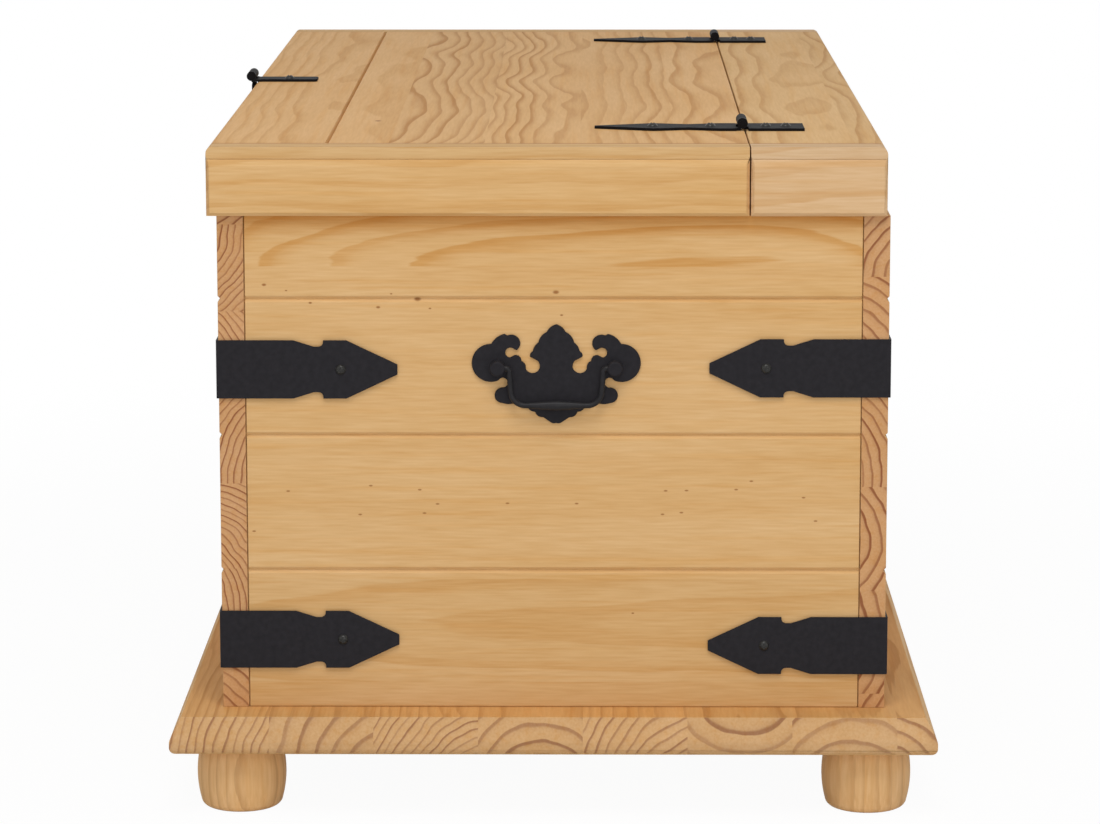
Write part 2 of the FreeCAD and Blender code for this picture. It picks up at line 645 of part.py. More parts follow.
for shank, head in zip(bars(plinth_shank_runs, size.plinth_screw_radius),
                       bars(plinth_head_runs, size.plinth_head_radius)):
    plinth_screw_solids.append(shank.fuse(head).removeSplitter())
keep(group("plinth_screws", plinth_screw_solids))

# Glue blocks
# Square posts in the four inner corners.
for depth_name, depth in DEPTHS.items():
    for side_name, side in SIDES.items():
        low_x = "inner_length - block_size" if side > 0 else "-inner_length"
        low_y = "inner_depth - block_size" if depth > 0 else "-inner_depth"
        keep(board(f"corner_block_{depth_name}_{side_name}", (low_x, low_y, "plinth_top"),
                   ("block_size", "block_size", "block_height")))


# End caps of lid and rail
# The same moulding on both: a flat top, a slope, a fine groove, a steep band and an upright face.
def cap_grooves(side):
    """The fine groove under an end cap's slope, and the one beside the top boards."""
    reach = 2 * size.body_depth
    slope_foot = Vector(side * (size.lid_half - size.bead_inset), -reach / 2,
                        size.lid_top - size.cap_slope_drop)
    outward = ALONG_X * side * size.quirk_depth
    upward = ALONG_Z * size.quirk_width
    floor = slope_foot - outward
    wedge = Part.makePolygon([floor, slope_foot + outward + upward, slope_foot + outward - upward, floor])
    quirk = Part.Face(wedge).extrude(ALONG_Y * reach)
    low_x = side * size.cap_inner - size.cap_line
    low = Vector(low_x, -reach / 2, size.lid_top - size.cap_line_depth)
    return [quirk, Part.makeBox(2 * size.cap_line, reach, 2 * size.cap_line_depth, low)]


def rounding(edge_y, radius, inward):
    """What rounding over a long top edge takes away; inward is the way from the edge into the wood."""
    reach = 2 * size.body_length
    axis = Vector(-reach / 2, edge_y + inward * radius, size.lid_top - radius)
    corner = Vector(-reach / 2, edge_y - radius, size.lid_top - radius)
    block = Part.makeBox(reach, 2 * radius, 2 * radius, corner)
    return block.cut(Part.makeCylinder(radius, reach, axis, ALONG_X))


def make_cap(name, side, start, length, holes):
    sign = "" if side > 0 else "-"
    section = [
        ("0", "0"),
        (f"{sign}cap_width", "0"),
        (f"{sign}cap_width", "lid_height - cap_slope_drop - bead_drop"),
        (f"{sign}(cap_width - bead_inset)", "lid_height - cap_slope_drop"),
        (f"{sign}(cap_width - bead_inset - cap_slope_inset)", "lid_height"),
        ("0", "lid_height"),
    ]
    body = prism(name + "_blank", "XZ_Plane", section, length, (f"{sign}cap_inner", start, "wall_top"))
    outer = side * size.cap_width

    def eased(middle, span):
        upright = same(span.YLength, 0) and same(middle.x, outer) and not same(span.ZLength, 0)
        low = same(middle.x, outer) and same(span.ZMax, 0)
        return upright or low

    bevel_edges(body, {"Size": "edge_chamfer"}, eased)
    drilled(name, body, holes + cap_grooves(side))


front_edge = rounding(size.lid_front, size.front_round, 1)
back_edge = rounding(size.rail_back, size.back_round, -1)
for side_name, side in SIDES.items():
    make_cap(f"lid_end_cap_{side_name}", side, "lid_front", "lid_depth", lid_dowel_holes + [front_edge])
    make_cap(f"rail_end_cap_{side_name}", side, "rail_front", "rail_depth", rail_dowel_holes + [back_edge])


# Lid
# A front board and a panel between the end caps, with an apron in front and a batten behind.
def across(name, section, base_y, base_z):
    """A board between the end caps, from its section: front to back, and up."""
    return prism(name, "YZ_Plane", section, "2 * cap_inner", ("-cap_inner", base_y, base_z))


front_board = across("lid_front_board_blank", [
    ("0", "0"),
    ("front_strip", "0"),
    ("front_strip", "top_thickness - joint_depth"),
    ("front_strip - joint_ease", "top_thickness"),
    ("0", "top_thickness"),
], "lid_front", "top_under")
round_edges(front_board, "front_round",
            lambda middle, span: same(span.YMax, 0) and same(span.ZMin, size.top_thickness))
drilled("lid_front_board", front_board, lid_dowel_holes + hasp_screw_holes)

panel_width = "(lid_rear - strip_back)"
lid_panel = across("lid_panel_blank", [
    ("0", "0"),
    (panel_width, "0"),
    (panel_width, "top_thickness - joint_ease / 2"),
    (f"{panel_width} - joint_ease / 2", "top_thickness"),
    ("joint_ease", "top_thickness"),
    ("0", "top_thickness - joint_depth"),
], "strip_back", "top_under")
drilled("lid_panel", lid_panel, lid_dowel_holes + strap_screw_holes)

BATTEN_SECTION = [
    ("0", "0"),
    ("apron_thickness", "0"),
    ("apron_thickness", "apron_height"),
    ("0", "apron_height"),
]
lid_apron = across("lid_front_apron_blank", BATTEN_SECTION, "lid_front", "wall_top")
round_edges(lid_apron, "corner_ease", lambda middle, span: same(span.YMax, 0) and same(span.ZMax, 0))
drilled("lid_front_apron", lid_apron, lid_dowel_holes)
lid_batten = across("lid_rear_batten_blank", BATTEN_SECTION, "lid_rear - apron_thickness", "wall_top")
drilled("lid_rear_batten", lid_batten, lid_dowel_holes)
keep(group("lid_dowels", bars(lid_dowel_runs, size.dowel_radius)))

# Fixed back rail
# It closes the top behind the lid and carries the hinges.
rail_panel = across("rail_panel_blank", [
    ("0", "0"),
    ("rail_depth", "0"),
    ("rail_depth", "top_thickness"),
    ("joint_ease / 2", "top_thickness"),
    ("0", "top_thickness - joint_ease / 2"),
], "rail_front", "top_under")
round_edges(rail_panel, "back_round",
            lambda middle, span: same(span.YMin, size.rail_depth) and same(span.ZMin, size.top_thickness))
drilled("rail_panel", rail_panel, rail_dowel_holes + leaf_screw_holes)
rail_apron = across("rail_back_apron_blank", BATTEN_SECTION, "rail_back - apron_thickness", "wall_top")
drilled("rail_back_apron", rail_apron, rail_dowel_holes)
rail_batten = across("rail_front_batten_blank", BATTEN_SECTION, "rail_front", "wall_top")
drilled("rail_front_batten", rail_batten, rail_dowel_holes)
keep(group("rail_dowels", bars(rail_dowel_runs, size.dowel_radius)))


# Strap hinges
# The lid's strap ends in a spearhead and carries the two outer knuckles. The rail's leaf is
# square and carries the middle one.
def mirrored(right_half):
    """An outline from its right half, given from one end to the other."""
    left_half = [(f"-({x})", y) for x, y in reversed(right_half)]
    return right_half + left_half


KNUCKLE_INNER = "(knuckle_length / 6 + knuckle_gap / 2)"
KNUCKLE_MIDDLE = "(knuckle_length / 6 - knuckle_gap / 2)"


def make_hinge(side_name, side):
    sign = "" if side > 0 else "-"
    middle = f"{sign}hinge_place"
    base = (middle, "hinge_line", "lid_top")
    strap_plate = prism(f"hinge_strap_{side_name}_plate", "XY_Plane", mirrored([
        ("strap_tip / 2", "-strap_length"),
        ("leaf_width / 2", "-strap_spread"),
        ("strap_waist / 2", "-strap_narrow"),
        ("leaf_width / 2", "-strap_shoulder"),
        ("leaf_width / 2", "-knuckle_clear"),
        ("knuckle_length / 2", "-knuckle_clear"),
        ("knuckle_length / 2", "-knuckle_tab"),
        (KNUCKLE_INNER, "-knuckle_tab"),
        (KNUCKLE_INNER, "-knuckle_clear"),
    ]), "leaf_thickness", base)
    leaf_plate = prism(f"hinge_leaf_{side_name}_plate", "XY_Plane", mirrored([
        ("leaf_width / 2", "leaf_length"),
        ("leaf_width / 2", "knuckle_clear"),
        (KNUCKLE_MIDDLE, "knuckle_clear"),
        (KNUCKLE_MIDDLE, "knuckle_tab"),
    ]), "leaf_thickness", base)
    outer_length = f"knuckle_length / 2 - {KNUCKLE_INNER}"
    starts = {
        "first": (f"{middle} - knuckle_length / 2", outer_length),
        "middle": (f"{middle} - {KNUCKLE_MIDDLE}", f"2 * {KNUCKLE_MIDDLE}"),
        "last": (f"{middle} + {KNUCKLE_INNER}", outer_length),
    }
    knuckles = {}
    for name, (start, length) in starts.items():
        knuckles[name] = cylinder(f"hinge_{side_name}_{name}_knuckle", ALONG_X, "knuckle_radius", length,
                                  (start, "hinge_line", "hinge_height"))
    pin_start_x = side * size.hinge_place - size.knuckle_length / 2
    pin_start = Vector(pin_start_x, size.hinge_line, size.hinge_height)
    bore = bars([(pin_start, ALONG_X, size.knuckle_length)], size.pin_radius + size.pin_clearance)
    strap = fused(f"hinge_strap_{side_name}_whole", [strap_plate, knuckles["first"], knuckles["last"]])
    drilled(f"hinge_strap_{side_name}", strap, strap_screw_holes + bore)
    leaf = fused(f"hinge_leaf_{side_name}_whole", [leaf_plate, knuckles["middle"]])
    drilled(f"hinge_leaf_{side_name}", leaf, leaf_screw_holes + bore)
    keep(cylinder(f"hinge_pin_{side_name}", ALONG_X, "pin_radius", "knuckle_length + 2 * pin_end",
                  (f"{middle} - knuckle_length / 2 - pin_end", "hinge_line", "hinge_height")))


for side_name, side in SIDES.items():
    make_hinge(side_name, side)
keep(group("hinge_strap_screws", screws(strap_seats)))
keep(group("hinge_leaf_screws", screws(leaf_seats)))

# Hasp
# A leaf on the lid, an arm that hangs from its pin and ends in an eye, and a second eye on the
# front wall just below, so that one lock goes through both.
HASP_INNER = "(hasp_barrel / 6 + knuckle_gap / 2)"
HASP_MIDDLE = "(hasp_barrel / 6 - knuckle_gap / 2)"
hasp_leaf_plate = prism("hasp_leaf_plate", "XY_Plane", mirrored([
    ("hasp_width / 2 - corner_ease", "hasp_length"),
    ("hasp_width / 2", "hasp_length - corner_ease"),
    ("hasp_width / 2", "hasp_clear - hasp_reach"),
    ("hasp_barrel / 2", "hasp_clear - hasp_reach"),
    ("hasp_barrel / 2", "-hasp_reach"),
    (HASP_INNER, "-hasp_reach"),
    (HASP_INNER, "hasp_clear - hasp_reach"),
]), "leaf_thickness", ("0", "lid_front", "lid_top"))
hasp_outer = f"hasp_barrel / 2 - {HASP_INNER}"
hasp_knuckles = {}
for name, start, length in (("first", "-hasp_barrel / 2", hasp_outer),
                            ("middle", f"-{HASP_MIDDLE}", f"2 * {HASP_MIDDLE}"),
                            ("last", HASP_INNER, hasp_outer)):
    hasp_knuckles[name] = cylinder(f"hasp_{name}_knuckle", ALONG_X, "hasp_radius", length,
                                   (start, "hasp_line", "hasp_height"))
hasp_pin_start = Vector(-size.hasp_barrel / 2, size.hasp_line, size.hasp_height)
hasp_bore = bars([(hasp_pin_start, ALONG_X, size.hasp_barrel)], size.pin_radius + size.pin_clearance)
hasp_leaf_whole = fused("hasp_leaf_whole", [hasp_leaf_plate, hasp_knuckles["first"], hasp_knuckles["last"]])
drilled("hasp_leaf", hasp_leaf_whole, hasp_screw_holes + hasp_bore)
keep(group("hasp_leaf_screw", screws(hasp_seats)))
keep(cylinder("hasp_pin", ALONG_X, "pin_radius", "hasp_barrel + 2 * pin_end",
              ("-hasp_barrel / 2 - pin_end", "hasp_line", "hasp_height")))

arm_plate = prism("hasp_arm_plate", "XZ_Plane", mirrored([
    ("hasp_width / 2", "-hasp_drop"),
    ("hasp_width / 2", "-hasp_rise - knuckle_room - corner_ease"),
    (HASP_MIDDLE, "-hasp_rise - knuckle_room"),
    (HASP_MIDDLE, "-pin_radius - pin_clearance - knuckle_room"),
]), "hasp_thickness", ("0", "arm_front", "hasp_height"))
eye_hole_start = Vector(0, size.eye_line, size.eye_top - 2 * size.hasp_thickness)
eye_hole = bars([(eye_hole_start, ALONG_Z, size.eye_gap + 4 * size.hasp_thickness)], size.eye_hole_radius)
arm_eye = [
    board("hasp_arm_eye_root", ("-eye_radius", "eye_line", "arm_foot"),
          ("2 * eye_radius", "eye_reach", "hasp_thickness")),
    cylinder("hasp_arm_eye_end", ALONG_Z, "eye_radius", "hasp_thickness", ("0", "eye_line", "arm_foot")),
]
arm_whole = fused("hasp_arm_whole", [arm_plate, hasp_knuckles["middle"]] + arm_eye)
drilled("hasp_arm", arm_whole, hasp_bore + eye_hole)

lower_eye = [
    board("hasp_eye_back",
          ("-eye_plate_width / 2", "-half_depth - hasp_thickness", "eye_top - eye_plate_height"),
          ("eye_plate_width", "hasp_thickness", "eye_plate_height")),
    board("hasp_eye_root", ("-eye_radius", "eye_line", "eye_top - hasp_thickness"),
          ("2 * eye_radius", "-half_depth - eye_line", "hasp_thickness")),
    cylinder("hasp_eye_end", ALONG_Z, "eye_radius", "hasp_thickness",
             ("0", "eye_line", "eye_top - hasp_thickness")),
]
drilled("hasp_eye_plate", fused("hasp_eye_whole", lower_eye), eye_screw_holes + eye_hole)
keep(group("hasp_eye_screws", screws(eye_seats)))

# Corner irons
# Straps bent round the four corners at two heights. Each leg has a notched waist and a spearhead.
IRON_HALF = [
    ("iron_straight", "iron_width / 2"),
    ("iron_notch", "iron_width / 2 - iron_notch_depth"),
    ("iron_head", "iron_width / 2 - iron_notch_depth"),
    ("iron_head", "iron_width / 2"),
    ("iron_taper", "iron_width / 2"),
    ("iron_length", "iron_tip / 2"),
]


def iron_leg(start, sign):
    upper = [(start, "iron_width / 2")] + [(f"{sign}{along}", up) for along, up in IRON_HALF]
    lower = [(along, f"-({up})") for along, up in reversed(upper)]
    return upper + lower


def make_iron(name, turn, x, y, z):
    body = prism(name + "_blank", "YZ_Plane", iron_leg("-iron_thickness", ""), "iron_thickness")
    pad(body, name + "_long", "XZ_Plane", iron_leg("0", "-"), "iron_thickness", False)
    round_edges(body, "iron_bend", lambda middle, span: same(middle.x, size.iron_thickness)
                and same(middle.y, -size.iron_thickness) and span.ZLength > size.iron_width / 2)
    waist = size.iron_width / 2 - size.iron_notch_depth

    def in_notch(middle, span):
        at_head = same(-middle.x, size.iron_head) or same(middle.y, size.iron_head)
        return at_head and same(abs(middle.z), waist) and same(span.ZLength, 0)

    round_edges(body, "iron_notch_round", in_notch)
    body.Placement = FreeCAD.Placement(Vector(), turn)
    place(body, x, y, z)
    drilled(name, body, iron_screw_holes)


CORNER_TURNS = {
    ("front", "right"): FreeCAD.Rotation(),
    ("back", "right"): FreeCAD.Rotation(ALONG_X, 180),
    ("back", "left"): FreeCAD.Rotation(ALONG_Z, 180),
    ("front", "left"): FreeCAD.Rotation(ALONG_Y, 180),
}
for (depth_name, side_name), turn in CORNER_TURNS.items():
    x = "half_length" if side_name == "right" else "-half_length"
    y = "half_depth" if depth_name == "back" else "-half_depth"
    for level in ("upper", "lower"):
        make_iron(f"corner_iron_{level}_{depth_name}_{side_name}", turn, x, y,
                  f"plinth_top + iron_{level}_{depth_name}")
keep(group("corner_iron_screws", screws(iron_seats)))

# Drop handles
# A cut plate in the traditional scrolled shape, two posts and a bail that hangs in them.
# The plate's right half, drawn for posts this far apart: across from the middle and up from the
# posts, each step an arc through a point or a straight line to the next point.
DRAWN_SPACING = 80.3
PLATE_APEX = (0, 29.5)
PLATE_STEPS = [
    ((3.9, 27.6), (6.4, 24.3)),
    ((10.0, 21.6), (12.2, 17.0)),
    ((14.8, 14.3), (16.0, 10.9)),
    ((17.6, 9.4), (17.9, 7.2)),
    (None, (12.9, 4.6)),
    ((11.6, -1.15), (20.9, -1.0)),
    ((21.5, 2.4), (23.8, 4.2)),
    ((25.2, 7.4), (28.6, 8.2)),
    (None, (31.5, 6.6)),
    ((34.75, 10.2), (29.4, 12.9)),
    (None, (27.1, 11.7)),
    ((24.5, 16.4), (27.4, 21.4)),
    ((30.4, 22.4), (33.4, 21.8)),
    (None, (35.2, 22.9)),
    ((40.4, 20.6), (44.3, 16.0)),
    ((57.7, 2.6), (39.7, -9.3)),
    (None, (38.2, -7.8)),
    ((33.1, -10.9), (36.9, -14.2)),
    ((42.0, -18.6), (36.7, -24.9)),
    ((31.6, -25.6), (26.4, -24.1)),
    ((22.8, -27.2), (19.4, -28.0)),
    ((17.0, -30.4), (14.4, -30.9)),
    ((12.4, -33.9), (9.0, -34.6)),
    ((6.2, -36.6), (4.2, -37.9)),
    ((2.2, -38.9), (0, -38.7)),
]


def make_plate(side_name, side):
    scale = size.bail_spacing / DRAWN_SPACING
    inner_face = side * size.end_face

    def spot(point, hand):
        across_y = size.handle_back + hand * point[0] * scale
        return Vector(inner_face, across_y, size.pivot_height + point[1] * scale)

    edges = []
    for hand in (1, -1):
        start = PLATE_APEX
        for middle, end in PLATE_STEPS:
            if middle is None:
                edges.append(Part.LineSegment(spot(start, hand), spot(end, hand)).toShape())
            else:
                edges.append(Part.Arc(spot(start, hand), spot(middle, hand), spot(end, hand)).toShape())
            start = end
    outline = Part.Wire(Part.__sortEdges__(edges))
    blank = doc.addObject("Part::Feature", f"handle_plate_{side_name}_blank")
    blank.Shape = Part.Face(outline).extrude(ALONG_X * side * size.plate_thickness)
    drilled(f"handle_plate_{side_name}", blank, post_holes)


def make_posts(side_name, side):
    stub_line = Vector(side * size.pivot_place, size.handle_back, size.pivot_height)
    hole_radius = size.rod_radius + size.stub_clearance
    posts = []
    for stud, hand in zip(bars(post_runs[side_name], size.post_stud_radius), (-1, 1)):
        across_y = size.handle_back + hand * size.bail_spacing / 2
        foot = Vector(side * size.plate_face, across_y, size.pivot_height)
        head = Part.makeCylinder(size.post_radius, size.post_length, foot, ALONG_X * side)
        outer_end = size.plate_face + size.post_length
        rim = [edge for edge in head.Edges if same(abs(edge.BoundBox.Center.x), outer_end)]
        head = head.makeFillet(size.post_round, rim)
        deepest = stub_line + ALONG_Y * hand * (size.arm_place + size.elbow_bend + size.bail_side_gap
                                                + size.stub_reach + size.drill_relief)
        hole = Part.makeCylinder(hole_radius, size.post_radius * 2, deepest, ALONG_Y * -hand)
        posts.append(head.fuse(stud).removeSplitter().cut(hole))
    keep(group(f"handle_posts_{side_name}", posts))


def bent_rod(corners, bends, radius):
    """A round rod along straight runs, with a bend at each corner between them."""
    edges = []
    start = corners[0]
    for before, corner, after, bend in zip(corners, corners[1:], corners[2:], bends):
        back = (before - corner).normalize()
        ahead = (after - corner).normalize()
        half_angle = back.getAngle(ahead) / 2
        reach = bend / math.tan(half_angle)
        inward = (back + ahead).normalize()
        crown = corner + inward * (bend / math.sin(half_angle) - bend)
        edges.append(Part.LineSegment(start, corner + back * reach).toShape())
        edges.append(Part.Arc(corner + back * reach, crown, corner + ahead * reach).toShape())
        start = corner + ahead * reach
    edges.append(Part.LineSegment(start, corners[-1]).toShape())
    ring = Part.Wire(Part.Circle(corners[0], corners[1] - corners[0], radius).toShape())
    return Part.Wire(edges).makePipeShell([ring], True, False)


def make_bail(side_name, side):
    middle = Vector(side * size.pivot_place, size.handle_back, size.pivot_height)
    grip_middle = middle - ALONG_Z * size.bail_drop
    end_place = size.arm_place + size.elbow_bend + size.bail_side_gap + size.stub_reach
    corners = [
        middle - ALONG_Y * end_place,
        middle - ALONG_Y * size.arm_place,
        grip_middle - ALONG_Y * size.arm_low,
        grip_middle + ALONG_Y * size.arm_low,
        middle + ALONG_Y * size.arm_place,
        middle + ALONG_Y * end_place,
    ]
    bends = (size.elbow_bend, size.bail_bend, size.bail_bend, size.elbow_bend)
    rod = bent_rod(corners, bends, size.rod_radius)
    grip_half = size.arm_low - size.bail_bend
    for way in (ALONG_Y, ALONG_Y * -1):
        rod = rod.fuse(Part.makeCone(size.grip_radius, size.rod_radius, grip_half, grip_middle, way))
    item = doc.addObject("Part::Feature", f"bail_{side_name}")
    item.Shape = rod.removeSplitter()
    keep(item)


nut_solids = []
for side_name, side in SIDES.items():
    make_plate(side_name, side)
    make_posts(side_name, side)
    make_bail(side_name, side)
    for start, way, length in post_runs[side_name]:
        seat = start + way * (length - size.nut_height)
        nut = Part.makeCylinder(size.nut_radius, size.nut_height, seat, way)
        bore = Part.makeCylinder(size.post_stud_radius + size.fit_clearance, size.nut_height, seat, way)
        nut_solids.append(nut.cut(bore))
keep(group("handle_nuts", nut_solids))

# Check and write every piece
doc.recompute()
for item in doc.Objects:
    if "Invalid" in item.State or "Error" in item.State:
        raise RuntimeError(f"{item.Label} failed: {item.State}")
for label, item in nodes.items():
    if item.Shape.isNull() or not item.Shape.isValid():
        raise RuntimeError(f"{label} has no valid shape")
os.makedirs("parts", exist_ok=True)
for label, item in nodes.items():
    item.Shape.exportStep(f"parts/{label}.step")
print(len(nodes), "pieces")
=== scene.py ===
import math

import bpy
from mathutils import Matrix, Vector


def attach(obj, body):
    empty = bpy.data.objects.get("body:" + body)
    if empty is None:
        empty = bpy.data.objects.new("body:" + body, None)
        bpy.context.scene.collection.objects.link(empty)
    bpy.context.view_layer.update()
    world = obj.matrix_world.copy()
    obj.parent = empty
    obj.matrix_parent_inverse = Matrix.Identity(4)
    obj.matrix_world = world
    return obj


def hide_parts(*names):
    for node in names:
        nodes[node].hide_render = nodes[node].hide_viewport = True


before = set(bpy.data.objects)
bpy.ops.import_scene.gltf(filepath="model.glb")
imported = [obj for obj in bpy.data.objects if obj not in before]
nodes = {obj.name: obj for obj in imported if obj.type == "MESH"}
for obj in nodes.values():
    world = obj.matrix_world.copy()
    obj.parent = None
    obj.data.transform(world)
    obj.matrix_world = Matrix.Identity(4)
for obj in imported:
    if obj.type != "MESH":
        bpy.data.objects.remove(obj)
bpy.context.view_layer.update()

# Turned feet
# Four solid pine feet, turned to a low barrel with a small round at the floor, and fixed to the
# base board by a stud in the middle. Their grain stands upright.


def add_node(tree, kind, inputs, output=0, **settings):
    """One step of a finish, with its settings made and its inputs set or joined; gives one result."""
    node = tree.nodes.new("ShaderNode" + kind)
    for name, value in settings.items():
        setattr(node, name, value)
    for key, value in inputs.items():
        if isinstance(value, bpy.types.NodeSocket):
            tree.links.new(value, node.inputs[key])
        else:
            node.inputs[key].default_value = value
    return node.outputs[output]


def maths(tree, operation, *values):
    return add_node(tree, "Math", dict(enumerate(values)), operation=operation)


def spread(tree, value, low, high, new_low, new_high, smooth=True):
    """A value brought from one range into another, held at the ends."""
    return add_node(tree, "MapRange", {0: value, 1: low, 2: high, 3: new_low, 4: new_high},
                    interpolation_type="SMOOTHSTEP" if smooth else "LINEAR")


def centred(tree, share, span):
    """A share from 0 to 1 brought to a measure that lies about zero."""
    return maths(tree, "MULTIPLY_ADD", share, span, -span / 2)


def mixed(tree, amount, first, second, blend="MIX"):
    """Two colours mixed by an amount."""
    return add_node(tree, "Mix", {0: amount, 6: first, 7: second}, 2, data_type="RGBA", blend_type=blend)


def toned(tree, colour, tone):
    """A colour deepened or lightened by a tone."""
    return mixed(tree, 1.0, colour, tone, "MULTIPLY")


def joined(tree, x, y, z):
    return add_node(tree, "CombineXYZ", {0: x, 1: y, 2: z})


def length(tree, x, y):
    return add_node(tree, "VectorMath", {0: joined(tree, x, y, 0.0)}, 1, operation="LENGTH")


def steps(tree, where, values):
    """A row of values, each held over its own equal share of the way from 0 to 1."""
    ramp = add_node(tree, "ValToRGB", {0: where}).node
    ramp.color_ramp.interpolation = "CONSTANT"
    stops = ramp.color_ramp.elements
    for number, value in enumerate(values):
        stop = stops[0] if number == 0 else stops.new(number / len(values))
        stop.position = number / len(values)
        stop.color = value
    stops.remove(stops[len(stops) - 1])
    return ramp


def new_material(name):
    material = bpy.data.materials.new(name)
    material.use_nodes = True
    return material, material.node_tree, material.node_tree.nodes["Principled BSDF"]


# Colours of pine
PALE_PINE = (0.672, 0.418, 0.186, 1)
RING_BROWN = (0.392, 0.188, 0.066, 1)
RESIN_BROWN = (0.30, 0.125, 0.04, 1)
END_GRAIN_TONE = (0.865, 0.765, 0.80, 1)
END_RING_BROWN = (0.32, 0.135, 0.056, 1)
STREAK_TONE = (0.97, 0.88, 0.72, 1)
FIBRE_DARK = (0.945, 0.905, 0.83, 1)
FIBRE_LIGHT = (1.055, 1.085, 1.14, 1)
TONE_DARK = (0.965, 0.935, 0.87, 1)
TONE_LIGHT = (1.03, 1.06, 1.12, 1)
TINT_DARK = 0.98
TINT_LIGHT = 1.02

# The most that a log's heart lies off its stave, leans and bows, and the widest ring
HEART_SPAN = 0.4
LEAN_SPAN = 1.0
BOW_SPAN = 2.0
WIDEST_RING = 0.02


def stave_logs(tree, where, staves):
    """How each stave lay in its log: the heart's place across and in depth, the width of the rings,
    how strongly they show, and how the heart leans and bows."""
    hearts = []
    courses = []
    for heart_across, heart_depth, ring, shown, *course in staves:
        lean, bow = course or (0.0, 0.0)
        hearts.append((heart_across / HEART_SPAN + 0.5, heart_depth / HEART_SPAN + 0.5,
                       ring / WIDEST_RING, shown))
        courses.append((lean / LEAN_SPAN + 0.5, bow / BOW_SPAN + 0.5, 0.0, 1.0))
    heart_steps = steps(tree, where, hearts).outputs
    heart = add_node(tree, "SeparateColor", {0: heart_steps["Color"]}).node.outputs
    course_steps = steps(tree, where, courses).outputs
    course = add_node(tree, "SeparateColor", {0: course_steps["Color"]}).node.outputs
    return (centred(tree, heart[0], HEART_SPAN), centred(tree, heart[1], HEART_SPAN),
            maths(tree, "MULTIPLY", heart[2], WIDEST_RING), heart_steps["Alpha"],
            centred(tree, course[0], LEAN_SPAN), centred(tree, course[1], BOW_SPAN))


def grain_noise(tree, place, per_metre_along, per_metre_across, detail):
    """An uneven pattern drawn out along the grain."""
    u, v, w = place
    stretched = joined(tree, maths(tree, "MULTIPLY", u, per_metre_along),
                       maths(tree, "MULTIPLY", v, per_metre_across),
                       maths(tree, "MULTIPLY", w, per_metre_across))
    return add_node(tree, "TexNoise", {"Vector": stretched, "Scale": 1.0, "Detail": detail})


# A ring deepens slowly towards its late wood, has a darker line there and closes sharply. These are
# shares of a ring's width, and the line's share of the colour on long faces and on end grain.
SOFT_FROM = 0.35
SOFT_FULL = 0.9
LINE_FROM = 0.68
LINE_FULL = 0.82
RING_CLOSES = 0.93
FACE_LINE = 0.25
END_LINE = 0.70
WEAKEST_YEAR = 0.5


def ring_shade(tree, rings, seed, end_grain):
    """How dark the wood is at each place in its rings. Some years' rings are weaker than others."""
    turn = maths(tree, "FRACT", rings)
    closing = spread(tree, turn, RING_CLOSES, 1.0, 1.0, 0.0)
    soft = maths(tree, "MULTIPLY", spread(tree, turn, SOFT_FROM, SOFT_FULL, 0.0, 1.0), closing)
    line = maths(tree, "MULTIPLY", spread(tree, turn, LINE_FROM, LINE_FULL, 0.0, 1.0), closing)
    line_share = maths(tree, "MULTIPLY_ADD", end_grain, END_LINE - FACE_LINE, FACE_LINE)
    dark = maths(tree, "ADD", maths(tree, "MULTIPLY", soft, maths(tree, "SUBTRACT", 1.0, line_share)),
                 maths(tree, "MULTIPLY", line, line_share))
    year = maths(tree, "ADD", maths(tree, "FLOOR", rings), seed)
    vigour = add_node(tree, "TexWhiteNoise", {"W": year}, 0, noise_dimensions="1D")
    return maths(tree, "MULTIPLY", dark, spread(tree, vigour, 0.0, 1.0, WEAKEST_YEAR, 1.0, False))


# Knots are longer along the grain, and specks lie one to a cell of an uneven net
KNOT_STRETCH = 0.6
KNOT_CORE = 0.3
KNOT_STRENGTH = 0.9
SPECKS_ALONG = 24.0
SPECKS_ACROSS = 52.0
SPECK_CORE = 0.018
SPECK_EDGE = 0.042
SPECK_STRENGTH = 0.8


def resin_marks(tree, u, v, colour, knots, specks):
    """Pin knots, each at its own place, and bands of fine specks."""
    for knot_along, knot_across, knot_radius in knots:
        away = length(tree, maths(tree, "MULTIPLY", maths(tree, "SUBTRACT", u, knot_along), KNOT_STRETCH),
                      maths(tree, "SUBTRACT", v, knot_across))
        spot = spread(tree, away, KNOT_CORE * knot_radius, knot_radius, KNOT_STRENGTH, 0.0)
        colour = mixed(tree, spot, colour, RESIN_BROWN)
    for low, high in specks:
        cells = joined(tree, maths(tree, "MULTIPLY", u, SPECKS_ALONG),
                       maths(tree, "MULTIPLY", v, SPECKS_ACROSS), 0.0)
        away = add_node(tree, "TexVoronoi", {"Vector": cells, "Scale": 1.0}, voronoi_dimensions="2D")
        in_band = maths(tree, "MULTIPLY", maths(tree, "GREATER_THAN", v, low),
                        maths(tree, "LESS_THAN", v, high))
        spot = spread(tree, away, SPECK_CORE, SPECK_EDGE, SPECK_STRENGTH, 0.0)
        colour = mixed(tree, maths(tree, "MULTIPLY", spot, in_band), colour, RESIN_BROWN)
    return colour


# Each stave, and each half of the chest, reads its own stretch of the patterns
STAVE_SEED = 13.7
HALF_SEED = 4.3
TINT_SEED = 0.37

